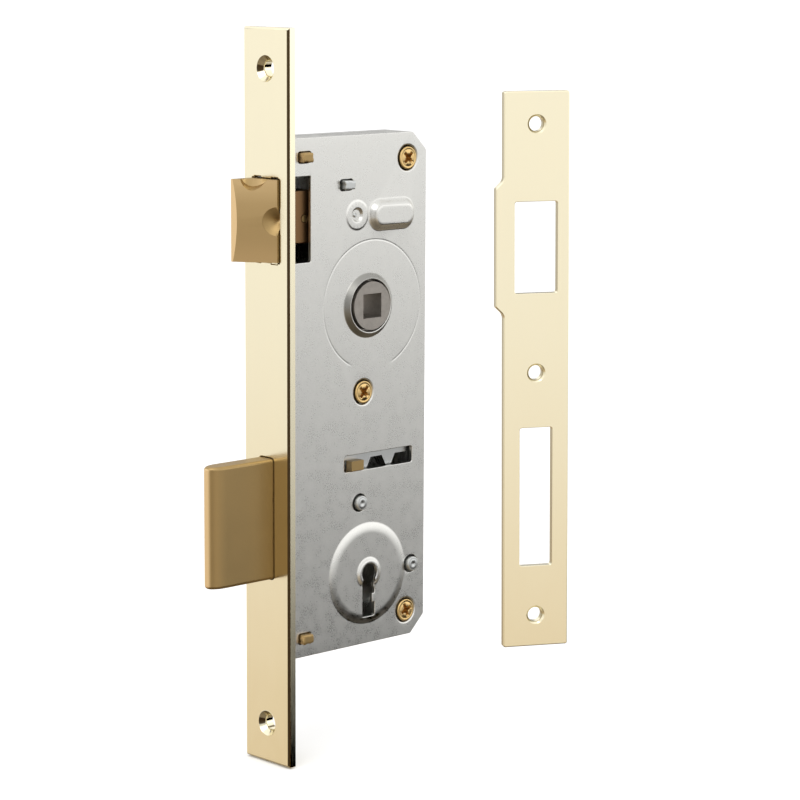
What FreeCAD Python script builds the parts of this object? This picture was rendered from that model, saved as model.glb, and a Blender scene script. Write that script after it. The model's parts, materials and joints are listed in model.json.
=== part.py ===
import FreeCAD, Part
import math
import os
import re
import Sketcher

# Mortise lock with a sprung latch, a two-step deadbolt worked by sliding levers, and a loose strike plate.
# Frame: origin at the centre of the forend's back face, which seats in the door's edge, midway between
# its two screw holes. +X runs into the door, Y is the door's thickness (the removable cover looks to -Y)
# and +Z is up. X positions in the sheet and the outlines are measured from the forend's outer face, as
# locksmiths give them, and place() moves each sub-part forward by the forend's thickness.

DIMENSIONS = {
    # forend
    "forend_height": 240, "forend_width": 22, "forend_thick": 3, "forend_edge": 0.4, "bracket_step": 1,
    "screw_spacing": 214, "screw_radius": 2.5, "sink_radius": 4.2, "sink_depth": 1.7,
    # case
    "case_height": 170, "case_rear": 64, "case_thick": 14, "sheet_thick": 1.2, "case_chamfer": 6,
    "window_rear": 13, "window_low": 45, "window_high": 72.7,
    # brass lugs of the forend and the steel lug of the latch guide
    "lug_x": 10.4, "lug_z": 78.8, "lug_long": 4.3, "lug_tall": 3.1, "lug_out": 9, "lug_gap": 0.6,
    "guide_x": 28.4, "guide_z": 69,
    # cover screws and their pillars
    "corner_screw_x": 55.5, "corner_screw_z": 76.5, "middle_screw_x": 36, "middle_screw_z": 0.3,
    "head_radius": 3.7, "head_out": 0.4, "head_land": 0.8, "head_cone": 1.75, "shank_radius": 1.95,
    "head_hole_radius": 4.1, "pillar_radius": 3.5, "cross_long": 4, "cross_wide": 1, "cross_deep": 1.5,
    "head_edge": 0.25, "thread_gap": 0.05,
    # spindle hub
    "spindle_x": 38, "spindle_z": 29, "spindle_square": 8, "journal_radius": 8.65, "journal_gap": 0.07,
    "hub_radius": 8, "hub_out": 9.1, "collar_radius": 10.5, "collar_top_radius": 9.3, "collar_out": 1.7,
    "cam_radius": 10, "cam_half": 2, "arm_reach": 20, "lobe_reach": 15, "arm_radius": 2.5, "hub_turn": 25,
    "hub_step": 0.2, "hub_spring_radius": 2.6, "hub_spring_wire": 0.8, "hub_spring_turns": 7,
    "hub_spring_low": 8, "hub_spring_high": 29.5, "hub_spring_x": 52.6,
    "seat_thick": 1.6, "seat_half": 4.5, "seat_front": 4, "seat_foot": 7,
    # latch
    "latch_z": 58.9, "latch_height": 26.4, "latch_thick": 13, "latch_reach": 9, "latch_rear": 2.6,
    "latch_nose": 2.3, "bevel_root": 0.8, "latch_gap": 0.3,
    "slot_notch": 0.4, "notch_inner": 0.35, "notch_outer": 0.85,
    "tail_rear": 15.5, "tail_height": 17, "tail_half": 4.5, "tail_rise": 0.6,
    "stem_front": 9.5, "stem_height": 4, "stem_half": 1.5, "stem_rear": 40.3,
    "hook_front": 36.7, "hook_low": 47.5, "hook_half": 2.5, "latch_pin_x": 12.5, "latch_pin_radius": 1.2,
    "latch_spring_radius": 3.9, "latch_spring_wire": 0.9, "latch_spring_turns": 5,
    "web_front": 29, "web_thick": 1.2, "web_reach": 7, "guide_gap": 0.1, "stem_gap": 0.3,
    "rest_pin_x": 32.5, "rest_pin_radius": 0.75, "rest_pin_out": 6.9, "rest_pin_in": 2.2,
    "rest_pin_edge": 0.3, "dimple_x": 33.1, "dimple_radius": 2.25,
    # deadbolt
    "bolt_z": -38.1, "bolt_height": 39.8, "bolt_thick": 7, "bolt_reach": 25.4, "bolt_travel": 22,
    "nose_long": 6, "bolt_rear": 4, "bolt_gap": 0.25,
    "plate_low": 0.4, "plate_high": 2.4, "plate_front": -2, "plate_rear": 40.3,
    "plate_top": -25, "plate_bottom": -46, "talon_bottom": -50, "talon_half": 2.6,
    "talon_lead": 5.5, "talon_slope_x": 13.1, "talon_slope_z": -48.4,
    "rivet_x": 1, "rivet_spread": 7, "rivet_radius": 1.5,
    "stump_x": 33.1, "stump_half": 2.7, "stump_top": -26.6, "stump_bottom": -29.6,
    "stump_gap": 0.3, "stump_web": 0.6, "stump_out": 7.6, "lug_low": -25.6, "lug_high": -22.3,
    "stump_rivet_radius": 1.2,
    # levers
    "lever_front": -4.6, "lever_thick": 1, "lever_pitch": 1.2, "lever_lift": 3, "lever_left": 26.4,
    "lever_right": 62.4, "lever_top": -15, "lever_low": -46, "band_right": 59.2, "tooth_z": -26.3,
    "gate_z": -22.4, "gate_top_half": 2.5, "gate_low_half": 4.6, "gate_pitch": 11, "last_tooth": 58,
    "pocket_left": 29.8, "pocket_low": -32.9, "belly_half": 3.5, "belly_z": -47, "belly_step": 0.5,
    "leg_left": 54.8, "leg_low": -57.8, "tine_left": 60.6, "tine_low": -66,
    "lever_spring_x": 30, "lever_spring_step": 8, "lever_spring_radius": 0.95, "lever_spring_wire": 0.5,
    "lever_spring_turns": 9, "rail_low": -4.9, "rail_thick": 1.2, "rail_rear": 60.4, "rail_foot": 5,
    # posts
    "post_x": 34.5, "post_z": -36.7, "rear_post_x": 57.8, "rear_post_z": -60.7,
    "post_radius": 2.5, "post_out": 8.5, "post_edge": 0.4, "post_hole_radius": 3.05, "post_gap": 0.2,
    # stump window
    "gallery_left": 27.6, "gallery_right": 58.2, "gallery_low": -25.8, "gallery_high": -20.3,
    # keyhole
    "key_x": 38.2, "key_z": -61, "key_radius": 3.3, "key_left": 35.5, "key_right": 40.9, "key_low": -75.8,
    "ward_in": 1.1, "ward_high": -68.2, "ward_low": -71.2, "key_disc_x": 38, "key_disc_radius": 17,
    "key_disc_top_radius": 16, "key_disc_out": 0.9, "key_collar_radius": 5, "key_collar_out": 1.6,
    # pressed boss over the latch's stem
    "boss_left": 38.2, "boss_right": 58.4, "boss_low": 53.2, "boss_high": 63.7, "boss_out": 2,
    "boss_corner": 3, "boss_slope": 0.6,
    # strike plate
    "strike_height": 200, "strike_width": 24, "strike_thick": 3, "strike_x": 131.3, "strike_y": 5.9,
    "strike_z": -4.6, "strike_yaw": -30, "strike_lean": -0.6, "strike_corner": 0.8,
    "lip_out": 2.9, "lip_high": 66, "lip_low": 23.9, "lip_slope": 2.8,
    "keep_left": -8, "keep_right": 7.7, "keep_high": 61.2, "keep_low": 28.6,
    "bolt_keep_half": 6, "bolt_keep_high": -19.8, "bolt_keep_low": -70.3,
    "strike_screws": 177, "strike_hole_radius": 2.6, "strike_sink_radius": 3.4, "strike_sink_depth": 0.8,
}

INNER = "(case_thick/2-sheet_thick)"
OUTER = "(case_thick/2)"
# what a 45 degree corner loses when its walls are drawn in by the sheet's thickness
INNER_CHAMFER = "(case_chamfer-(2-sqrt(2))*sheet_thick)"
GATES = 3
LEVERS = 4

doc = FreeCAD.newDocument("MortiseLock")
dims = doc.addObject("Spreadsheet::Sheet", "dims")
for row, (alias, number) in enumerate(DIMENSIONS.items(), start=1):
    dims.set(f"A{row}", alias)
    dims.set(f"B{row}", str(number))
    dims.setAlias(f"B{row}", alias)
doc.recompute()
parts = []


# ---- helpers -------------------------------------------------------------------------------------

def linked(text):
    """Turn each dimension's name in an expression into a link to its cell."""
    def link(word):
        return f"dims.{word.group()}" if word.group() in DIMENSIONS else word.group()
    return re.sub(r"[a-z][a-z_]*", link, str(text))


def bind(thing, **expressions):
    """Bind properties to expressions in the sheet's names; a double underscore stands for a dot."""
    for path, text in expressions.items():
        thing.setExpression(path.replace("__", "."), linked(text))


def place(thing, x=0, y=0, z=0, rotation=None):
    """Put a sub-part where three expressions say, turned by a rotation. X is from the forend's face."""
    thing.Placement = FreeCAD.Placement(FreeCAD.Vector(), rotation or FreeCAD.Rotation())
    bind(thing, Placement__Base__x=f"({x})-forend_thick", Placement__Base__y=y, Placement__Base__z=z)


def keep(thing, name):
    """Name a finished sub-part and list it for writing."""
    thing.Label = name
    parts.append(thing)
    return thing


def box(left, low, right, high):
    return [(left, low), (right, low), (right, high), (left, high)]


def circle(x, y, radius):
    return (x, y, radius)


def pin_point(sketch, geometry, which, spot, x, y):
    """Fix a point of a sketch at two expressions; spot is where it is drawn first."""
    for kind, start, text in (("DistanceX", spot.x, x), ("DistanceY", spot.y, y)):
        index = sketch.addConstraint(Sketcher.Constraint(kind, -1, 1, geometry, which, start))
        sketch.setExpression(f"Constraints[{index}]", linked(text))


def draw_circle(sketch, x, y, radius):
    spot = FreeCAD.Vector(10, 10, 0)
    index = sketch.addGeometry(Part.Circle(spot, FreeCAD.Vector(0, 0, 1), 5))
    pin_point(sketch, index, 3, spot, x, y)
    size = sketch.addConstraint(Sketcher.Constraint("Radius", index, 5))
    sketch.setExpression(f"Constraints[{size}]", linked(radius))


def draw_polygon(sketch, points):
    count = len(points)
    turns = [2 * math.pi * i / count for i in range(count)]
    spots = [FreeCAD.Vector(40 * math.cos(turn), 40 * math.sin(turn), 0) for turn in turns]
    first = sketch.GeometryCount
    for i in range(count):
        sketch.addGeometry(Part.LineSegment(spots[i], spots[(i + 1) % count]))
    for i in range(count):
        sketch.addConstraint(Sketcher.Constraint("Coincident", first + i, 2, first + (i + 1) % count, 1))
    for i, (x, y) in enumerate(points):
        pin_point(sketch, first + i, 1, spots[i], x, y)


def own_plane(body, plane):
    return [item for item in body.Origin.OriginFeatures if item.Role == f"{plane}_Plane"][0]


def attach(thing, body, plane, level, x=0, y=0):
    """Attach to one of the body's own planes, shifted to a level along that plane's axis."""
    thing.AttachmentSupport = [(own_plane(body, plane), "")]
    thing.MapMode = "FlatFace"
    height = f"-({level})" if plane == "XZ" else level
    bind(thing, AttachmentOffset__Base__x=x, AttachmentOffset__Base__y=y, AttachmentOffset__Base__z=height)


def sketch_on(body, plane, level, loops):
    sketch = body.newObject("Sketcher::SketchObject", f"{body.Name}_outline")
    attach(sketch, body, plane, level)
    for loop in loops:
        if isinstance(loop, tuple):
            draw_circle(sketch, *loop)
        else:
            draw_polygon(sketch, loop)
    return sketch


def add(body, plane, low, high, *loops):
    """Pad outlines between two levels. The XZ plane's normal is -Y, the others' are positive."""
    sketch = sketch_on(body, plane, high if plane == "XZ" else low, loops)
    pad = body.newObject("PartDesign::Pad", f"{body.Name}_pad")
    pad.Profile = sketch
    bind(pad, Length=f"({high})-({low})")
    return pad


def cut(body, plane, low, high, *loops):
    """Pocket outlines between two levels."""
    sketch = sketch_on(body, plane, low if plane == "XZ" else high, loops)
    pocket = body.newObject("PartDesign::Pocket", f"{body.Name}_pocket")
    pocket.Profile = sketch
    bind(pocket, Length=f"({high})-({low})")
    return pocket


def cone(body, kind, plane, level, x, y, base, top, length):
    """A cone that starts at a level and runs along the plane's normal, added or taken away."""
    shape = body.newObject(f"PartDesign::{kind}Cone", f"{body.Name}_cone")
    attach(shape, body, plane, level, x, y)
    bind(shape, Radius1=base, Radius2=top, Height=length)
    return shape


def new_body(name):
    body = doc.addObject("PartDesign::Body", name)
    place(body)
    return keep(body, name)


FACING = FreeCAD.Rotation(FreeCAD.Vector(1, 0, 0), 90)


def turned(name, profile, x, z):
    """A turned piece across the case. Its profile is (radius, distance in front of the mid-plane)."""
    body = new_body(name)
    sketch = sketch_on(body, "XZ", 0, [profile])
    revolution = body.newObject("PartDesign::Revolution", f"{name}_turning")
    revolution.Profile = sketch
    revolution.ReferenceAxis = (sketch, ["V_Axis"])
    revolution.Angle = 360
    place(body, x, 0, z, FACING)
    return body


def coil(name, radius, wire, length, turns, x, y, z, rotation=None):
    """A compression spring of a wire radius, standing on its lower end before it is turned and placed."""
    helix = doc.addObject("Part::Helix", f"{name}_line")
    bind(helix, Radius=radius, Height=f"({length})-2*{wire}", Pitch=f"(({length})-2*{wire})/{turns}")
    section = doc.addObject("Part::Circle", f"{name}_section")
    section.Placement = FreeCAD.Placement(FreeCAD.Vector(), FACING)
    bind(section, Radius=wire, Placement__Base__x=radius)
    spring = doc.addObject("Part::Sweep", name)
    spring.Sections = [section]
    spring.Spine = (helix, ["Edge1"])
    spring.Solid = True
    spring.Frenet = True
    place(spring, x, y, z, rotation)
    return keep(spring, name)


# ---- forend --------------------------------------------------------------------------------------

def latch_slot():
    """The latch's slot, a little larger than the latch, with relief notches in its ends."""
    half = "(latch_thick/2+latch_gap)"
    low = "(latch_z-latch_height/2-latch_gap)"
    high = "(latch_z+latch_height/2+latch_gap)"
    notch = [(f"{half}*notch_inner", low), (f"{half}*notch_inner", f"{low}-slot_notch"),
             (f"{half}*notch_outer", f"{low}-slot_notch"), (f"{half}*notch_outer", low)]
    near = [(f"-({y})", z) for y, z in reversed(notch)]
    top = [(f"{half}*notch_outer", high), (f"{half}*notch_outer", f"{high}+slot_notch"),
           (f"{half}*notch_inner", f"{high}+slot_notch"), (f"{half}*notch_inner", high)]
    return [(f"-{half}", low)] + near + notch + [(half, low), (half, high)] + top + [(f"-{half}", high)]


def forend_plate():
    body = new_body("forend_plate")
    half = "forend_width/2"
    section = [(0, f"-{half}+forend_edge"), ("forend_edge", f"-{half}"), ("forend_thick", f"-{half}"),
               ("forend_thick", half), ("forend_edge", half), (0, f"{half}-forend_edge")]
    add(body, "XY", "-forend_height/2", "forend_height/2", section)
    bolt_half = "(bolt_thick/2+bolt_gap)"
    bolt_slot = box(f"-{bolt_half}", "bolt_z-bolt_height/2-bolt_gap",
                    bolt_half, "bolt_z+bolt_height/2+bolt_gap")
    cut(body, "YZ", 0, "forend_thick", latch_slot(), bolt_slot,
        circle(0, "screw_spacing/2", "screw_radius"), circle(0, "-screw_spacing/2", "screw_radius"))
    for side in ("", "-"):
        cone(body, "Subtractive", "YZ", 0, 0, f"{side}screw_spacing/2",
             "sink_radius", "screw_radius", "sink_depth")


def forend_bracket(name, side):
    """A brass block riveted behind the forend, with a lug through each side of the case."""
    body = new_body(name)
    height = f"({side}lug_z)"
    add(body, "XZ", f"-{INNER}+lug_gap/2", f"{INNER}-lug_gap/2",
        box("forend_thick", f"{height}-lug_tall/2", "lug_x+lug_long/2+bracket_step", f"{height}+lug_tall/2"))
    add(body, "XZ", "-lug_out", "lug_out",
        box("lug_x-lug_long/2", f"{height}-lug_tall/2", "lug_x+lug_long/2", f"{height}+lug_tall/2"))


# ---- case ----------------------------------------------------------------------------------------

def case_outline(wall, chamfer):
    """The case seen from the side: its rear corners are cut off at 45 degrees."""
    rear = f"(case_rear-{wall})"
    half = f"(case_height/2-{wall})"
    return [("forend_thick", f"-{half}"), (f"{rear}-{chamfer}", f"-{half}"), (rear, f"-{half}+{chamfer}"),
            (rear, f"{half}-{chamfer}"), (f"{rear}-{chamfer}", half), ("forend_thick", half)]


def lug_hole(x, z):
    return box(f"{x}-lug_long/2-lug_gap", f"{z}-lug_tall/2-lug_gap/2",
               f"{x}+lug_long/2+lug_gap", f"{z}+lug_tall/2+lug_gap/2")


def keyhole():
    """The slot below the keyhole's round top, with a ward standing into its right side."""
    return [("key_left", "key_low"), ("key_right", "key_low"), ("key_right", "ward_low"),
            ("key_right-ward_in", "ward_low"), ("key_right-ward_in", "ward_high"),
            ("key_right", "ward_high"), ("key_right", "key_z"), ("key_left", "key_z")]


def side_openings(body, low, high):
    """The openings that the cover and the back of the case share."""
    cut(body, "XZ", low, high,
        box("forend_thick", "window_low", "window_rear", "window_high"),
        lug_hole("lug_x", "lug_z"), lug_hole("lug_x", "(-lug_z)"), lug_hole("guide_x", "guide_z"),
        circle("spindle_x", "spindle_z", "journal_radius+journal_gap"), keyhole())
    cut(body, "XZ", low, high, circle("key_x", "key_z", "key_radius"))


def case_body():
    body = new_body("case_body")
    add(body, "XZ", f"-{INNER}", OUTER, case_outline("0", "case_chamfer"))
    cut(body, "XZ", f"-{INNER}", INNER, case_outline("sheet_thick", INNER_CHAMFER))
    add(body, "XZ", OUTER, f"{OUTER}+collar_out", circle("spindle_x", "spindle_z", "collar_top_radius"))
    side_openings(body, INNER, f"{OUTER}+collar_out")
    cut(body, "XZ", INNER, OUTER, circle("post_x", "post_z", "post_radius"),
        circle("rear_post_x", "rear_post_z", "post_radius"))


def boss_outline(inset):
    corner = "boss_corner"
    left, right = f"boss_left+{inset}", f"boss_right-{inset}"
    low, high = f"boss_low+{inset}", f"boss_high-{inset}"
    return [(left, f"{low}+{corner}"), (f"{left}+{corner}", low), (f"{right}-{corner}", low),
            (right, f"{low}+{corner}"), (right, f"{high}-{corner}"), (f"{right}-{corner}", high),
            (f"{left}+{corner}", high), (left, f"{high}-{corner}")]


def case_cover():
    body = new_body("case_cover")
    add(body, "XZ", f"-{OUTER}", f"-{INNER}", case_outline("0", "case_chamfer"))
    add(body, "XZ", f"-{OUTER}-boss_out", f"-{OUTER}", boss_outline("boss_slope"))
    cut(body, "XZ", f"-{OUTER}-boss_out+sheet_thick", f"-{INNER}", boss_outline("sheet_thick"))
    cone(body, "Additive", "XZ", f"-{OUTER}", "spindle_x", "spindle_z",
         "collar_radius", "collar_top_radius", "collar_out")
    cone(body, "Additive", "XZ", f"-{OUTER}", "key_disc_x", "key_z",
         "key_disc_radius", "key_disc_top_radius", "key_disc_out")
    add(body, "XZ", f"-{OUTER}-key_collar_out", f"-{OUTER}", circle("key_x", "key_z", "key_collar_radius"))
    side_openings(body, f"-{OUTER}-collar_out", f"-{INNER}")
    screw_holes = [circle(x, z, "head_hole_radius") for x, z in SCREWS.values()]
    cut(body, "XZ", f"-{OUTER}-key_disc_out", f"-{INNER}", *screw_holes,
        circle("post_x", "post_z", "post_hole_radius"),
        circle("rear_post_x", "rear_post_z", "post_hole_radius"),
        box("gallery_left", "gallery_low", "gallery_right", "gallery_high"))
    cut(body, "XZ", f"-{OUTER}", "-rest_pin_out+sheet_thick/2",
        circle("dimple_x", "latch_z", "dimple_radius"))
    cut(body, "XZ", f"-{OUTER}", f"-{INNER}", circle("rest_pin_x", "latch_z", "rest_pin_radius"))


SCREWS = {
    "upper": ("corner_screw_x", "corner_screw_z"),
    "middle": ("middle_screw_x", "middle_screw_z"),
    "lower": ("corner_screw_x", "(-corner_screw_z)"),
}


def cover_screw(name, x, z):
    """A countersunk cross-head screw that holds the cover to its pillar."""
    face = f"{OUTER}+head_out"
    body = turned(name, [(0, 0), ("shank_radius", 0), ("shank_radius", f"{face}-head_land-head_cone"),
                         ("head_radius", f"{face}-head_land"), ("head_radius", f"{face}-head_edge"),
                         ("head_radius-head_edge", face), (0, face)], x, z)
    long, wide = "cross_long/2", "cross_wide/2"
    cross = [(long, f"-{wide}"), (long, wide), (wide, wide), (wide, long), (f"-{wide}", long),
             (f"-{wide}", wide), (f"-{long}", wide), (f"-{long}", f"-{wide}"), (f"-{wide}", f"-{wide}"),
             (f"-{wide}", f"-{long}"), (wide, f"-{long}"), (wide, f"-{wide}")]
    cut(body, "XY", f"{face}-cross_deep", face, cross)


def screw_pillar(name, x, z):
    """A threaded pillar riveted to the case's back, countersunk for the screw's head."""
    seat = "shank_radius+thread_gap"
    mouth = f"{OUTER}+head_out-head_land-{INNER}"
    turned(name, [(seat, f"-{INNER}"), ("pillar_radius", f"-{INNER}"), ("pillar_radius", INNER),
                  (f"head_radius-({mouth})*(head_radius-shank_radius)/head_cone+thread_gap", INNER),
                  (seat, f"{OUTER}+head_out-head_land-head_cone")], x, z)


def guide_post(name, x, z):
    """A steel post riveted in the case's back, which guides the levers; its end shows in front."""
    turned(name, [(0, f"-{OUTER}"), ("post_radius", f"-{OUTER}"), ("post_radius", "post_out-post_edge"),
                  ("post_radius-post_edge", "post_out"), (0, "post_out")], x, z)


# ---- latch ---------------------------------------------------------------------------------------

def latch_head():
    """The bevelled latch: a thick head and a slimmer tail, slotted for the stem."""
    body = new_body("latch_head")
    half = "latch_thick/2"
    section = [("latch_rear", f"-{half}"), ("-bevel_root", f"-{half}"),
               ("-latch_reach", f"{half}-latch_nose"), ("-latch_reach", half), ("latch_rear", half)]
    add(body, "XY", "latch_z-latch_height/2", "latch_z+latch_height/2", section)
    add(body, "XZ", "-tail_half", "tail_half",
        box("latch_rear", "latch_z-tail_height/2+tail_rise",
            "tail_rear", "latch_z+tail_height/2+tail_rise"))
    cut(body, "YZ", "stem_front", "tail_rear",
        box("-stem_half", "latch_z-stem_height/2", "stem_half", "latch_z+stem_height/2"))
    cut(body, "XZ", "-tail_half", "tail_half", circle("latch_pin_x", "latch_z", "latch_pin_radius"))


def latch_stem():
    """The flat steel stem, with the hook that the hub's arm draws back."""
    body = new_body("latch_stem")
    low, high = "latch_z-stem_height/2", "latch_z+stem_height/2"
    add(body, "XZ", "-stem_half", "stem_half", box("stem_front", low, "stem_rear", high))
    add(body, "XZ", "-hook_half", "hook_half", box("hook_front", "hook_low", "stem_rear", high))
    cut(body, "XZ", "-stem_half", "stem_half", circle("latch_pin_x", "latch_z", "latch_pin_radius"))


def latch_pin():
    turned("latch_pin", [(0, "-tail_half"), ("latch_pin_radius", "-tail_half"),
                         ("latch_pin_radius", "tail_half"), (0, "tail_half")], "latch_pin_x", "latch_z")


def latch_guide():
    """The steel bracket that the stem slides through; its upper leg is riveted through both sides."""
    body = new_body("latch_guide")
    top = "guide_z+lug_tall/2-guide_gap"
    add(body, "XZ", f"-{INNER}+lug_gap/2", f"{INNER}-lug_gap/2",
        box("web_front", "latch_z-web_reach", "web_front+web_thick", top))
    add(body, "XZ", "-lug_out", "lug_out",
        box("guide_x-lug_long/2", "guide_z-lug_tall/2+guide_gap", "guide_x+lug_long/2", top))
    cut(body, "YZ", "web_front", "web_front+web_thick",
        box("-stem_half-stem_gap", "latch_z-stem_height/2-stem_gap",
            "stem_half+stem_gap", "latch_z+stem_height/2+stem_gap"))


def rest_pin():
    """A small pin in the cover that keeps the stem central; its end shows in a dimple."""
    turned("stem_rest_pin", [(0, "rest_pin_in"), ("rest_pin_radius", "rest_pin_in"),
                             ("rest_pin_radius", "rest_pin_out-rest_pin_edge"),
                             ("rest_pin_radius-rest_pin_edge", "rest_pin_out"), (0, "rest_pin_out")],
           "rest_pin_x", "latch_z")


# ---- hub -----------------------------------------------------------------------------------------

def hub_lobe(body, angle, reach):
    """An arm of the hub: a tapering bar with a round end."""
    turn = math.radians(angle)
    along_x, along_z = round(math.cos(turn), 6), round(math.sin(turn), 6)
    tip_x, tip_z = f"{reach}*({along_x})", f"{reach}*({along_z})"
    side_x, side_z = f"arm_radius*({-along_z})", f"arm_radius*({along_x})"
    add(body, "XY", "-cam_half", "cam_half",
        [(f"-({side_x})", f"-({side_z})"), (f"{tip_x}-({side_x})", f"{tip_z}-({side_z})"),
         (f"{tip_x}+({side_x})", f"{tip_z}+({side_z})"), (side_x, side_z)])
    add(body, "XY", "-cam_half", "cam_half", circle(tip_x, tip_z, "arm_radius"))


def spindle_hub():
    """The follower that the door handle's square spindle turns; at rest it stands half its turn back."""
    step = f"({OUTER}+hub_step)"
    body = turned("spindle_hub", [
        (0, "-hub_out"), ("hub_radius", "-hub_out"), ("hub_radius", f"-{step}"),
        ("journal_radius", f"-{step}"), ("journal_radius", "-cam_half"), ("cam_radius", "-cam_half"),
        ("cam_radius", "cam_half"), ("journal_radius", "cam_half"), ("journal_radius", step),
        ("hub_radius", step), ("hub_radius", "hub_out"), (0, "hub_out")], "spindle_x", "spindle_z")
    half_turn = DIMENSIONS["hub_turn"] / 2
    hub_lobe(body, 90 + half_turn, "arm_reach")
    hub_lobe(body, half_turn, "lobe_reach")
    half = "spindle_square/2"
    cut(body, "XY", "-hub_out", "hub_out", box(f"-{half}", f"-{half}", half, half))


def hub_spring_seat():
    """The steel shelf under the hub's spring, riveted to the case's back."""
    body = new_body("hub_spring_seat")
    left, right = "hub_spring_x-seat_half", "hub_spring_x+seat_half"
    add(body, "XZ", "-seat_front", INNER, box(left, "hub_spring_low-seat_thick", right, "hub_spring_low"))
    add(body, "XZ", f"{INNER}-seat_thick", INNER,
        box(left, "hub_spring_low-seat_foot", right, "hub_spring_low"))


# ---- deadbolt ------------------------------------------------------------------------------------

def deadbolt_head():
    """The brass bolt: a flat-sided block with an elliptical nose, slotted at the rear for its plate."""
    low = "bolt_z-bolt_height/2"
    block = doc.addObject("Part::Box", "deadbolt_block")
    bind(block, Length="bolt_reach-nose_long+bolt_rear", Width="bolt_thick", Height="bolt_height",
         Placement__Base__x="nose_long-bolt_reach", Placement__Base__y="-bolt_thick/2",
         Placement__Base__z=low)
    rim = doc.addObject("Part::Ellipse", "deadbolt_nose_rim")
    bind(rim, MajorRadius="nose_long", MinorRadius="bolt_thick/2",
         Placement__Base__x="nose_long-bolt_reach", Placement__Base__z=low)
    nose = doc.addObject("Part::Extrusion", "deadbolt_nose")
    nose.Base = rim
    nose.DirMode = "Custom"
    nose.Dir = FreeCAD.Vector(0, 0, 1)
    nose.Solid = True
    bind(nose, LengthFwd="bolt_height")
    solid = doc.addObject("Part::MultiFuse", "deadbolt_solid")
    solid.Shapes = [block, nose]
    slot = doc.addObject("Part::Box", "deadbolt_slot")
    bind(slot, Length="bolt_rear-plate_front", Width="plate_high-plate_low",
         Height="plate_top-talon_bottom", Placement__Base__x="plate_front",
         Placement__Base__y="plate_low", Placement__Base__z="talon_bottom")
    holes = [rivet_cylinder(f"deadbolt_hole_{side}", side) for side in ("upper", "lower")]
    removed = doc.addObject("Part::MultiFuse", "deadbolt_removed")
    removed.Shapes = [slot] + holes
    head = doc.addObject("Part::Cut", "deadbolt_head")
    head.Base = solid
    head.Tool = removed
    place(head)
    keep(head, "deadbolt_head")


def rivet_cylinder(name, side):
    """One of the two rivets that run across the bolt, through its plate."""
    sign = "+" if side == "upper" else "-"
    cylinder = doc.addObject("Part::Cylinder", name)
    cylinder.Placement = FreeCAD.Placement(FreeCAD.Vector(), FACING)
    bind(cylinder, Radius="rivet_radius", Height="bolt_thick", Placement__Base__x="rivet_x",
         Placement__Base__y="bolt_thick/2", Placement__Base__z=f"bolt_z{sign}rivet_spread")
    return cylinder


def deadbolt_rivets():
    rivets = doc.addObject("Part::Compound", "deadbolt_rivets")
    rivets.Links = [rivet_cylinder(f"deadbolt_rivet_{side}", side) for side in ("upper", "lower")]
    place(rivets)
    keep(rivets, "deadbolt_rivets")


def talon_outline():
    """The bolt's plate: two notches in its lower edge, one step apart, take the key's bit."""
    notch_x = ["key_x-talon_lead-bolt_travel/2", "key_x-talon_lead"]
    points = [("plate_front", "talon_slope_z"), ("talon_slope_x", "talon_bottom")]
    for centre in notch_x:
        points += [(f"{centre}-talon_half", "talon_bottom"), (f"{centre}-talon_half", "plate_bottom"),
                   (f"{centre}+talon_half", "plate_bottom"), (f"{centre}+talon_half", "talon_bottom")]
    return points + [("plate_rear", "talon_bottom"), ("plate_rear", "plate_top"),
                     ("plate_front", "plate_top")]


def deadbolt_tail():
    """The steel plate that carries the deadbolt; a long slot runs on the upper guide post."""
    body = new_body("deadbolt_tail")
    add(body, "XZ", "plate_low", "plate_high", talon_outline())
    half = "(post_radius+post_gap)"
    cut(body, "XZ", "plate_low", "plate_high",
        box(f"post_x-bolt_travel-{half}", f"post_z-{half}", f"post_x+{half}", f"post_z+{half}"),
        circle("rivet_x", "bolt_z+rivet_spread", "rivet_radius"),
        circle("rivet_x", "bolt_z-rivet_spread", "rivet_radius"),
        circle("stump_x", "(stump_top+stump_bottom)/2", "stump_rivet_radius"))


def bolt_stump():
    """The brass stump on the bolt's plate: its neck passes under the gates, its lug shows in the window."""
    body = new_body("bolt_stump")
    left, right = "stump_x-stump_half", "stump_x+stump_half"
    behind_cover = "lever_front-stump_gap"
    add(body, "XZ", behind_cover, "plate_low", box(left, "stump_bottom", right, "stump_top"))
    add(body, "XZ", f"{behind_cover}-stump_web", behind_cover, box(left, "stump_bottom", right, "lug_high"))
    add(body, "XZ", "-stump_out", f"{behind_cover}-stump_web", box(left, "lug_low", right, "lug_high"))
    add(body, "XZ", "plate_low", "plate_high",
        circle("stump_x", "(stump_top+stump_bottom)/2", "stump_rivet_radius"))


# ---- levers --------------------------------------------------------------------------------------

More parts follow.
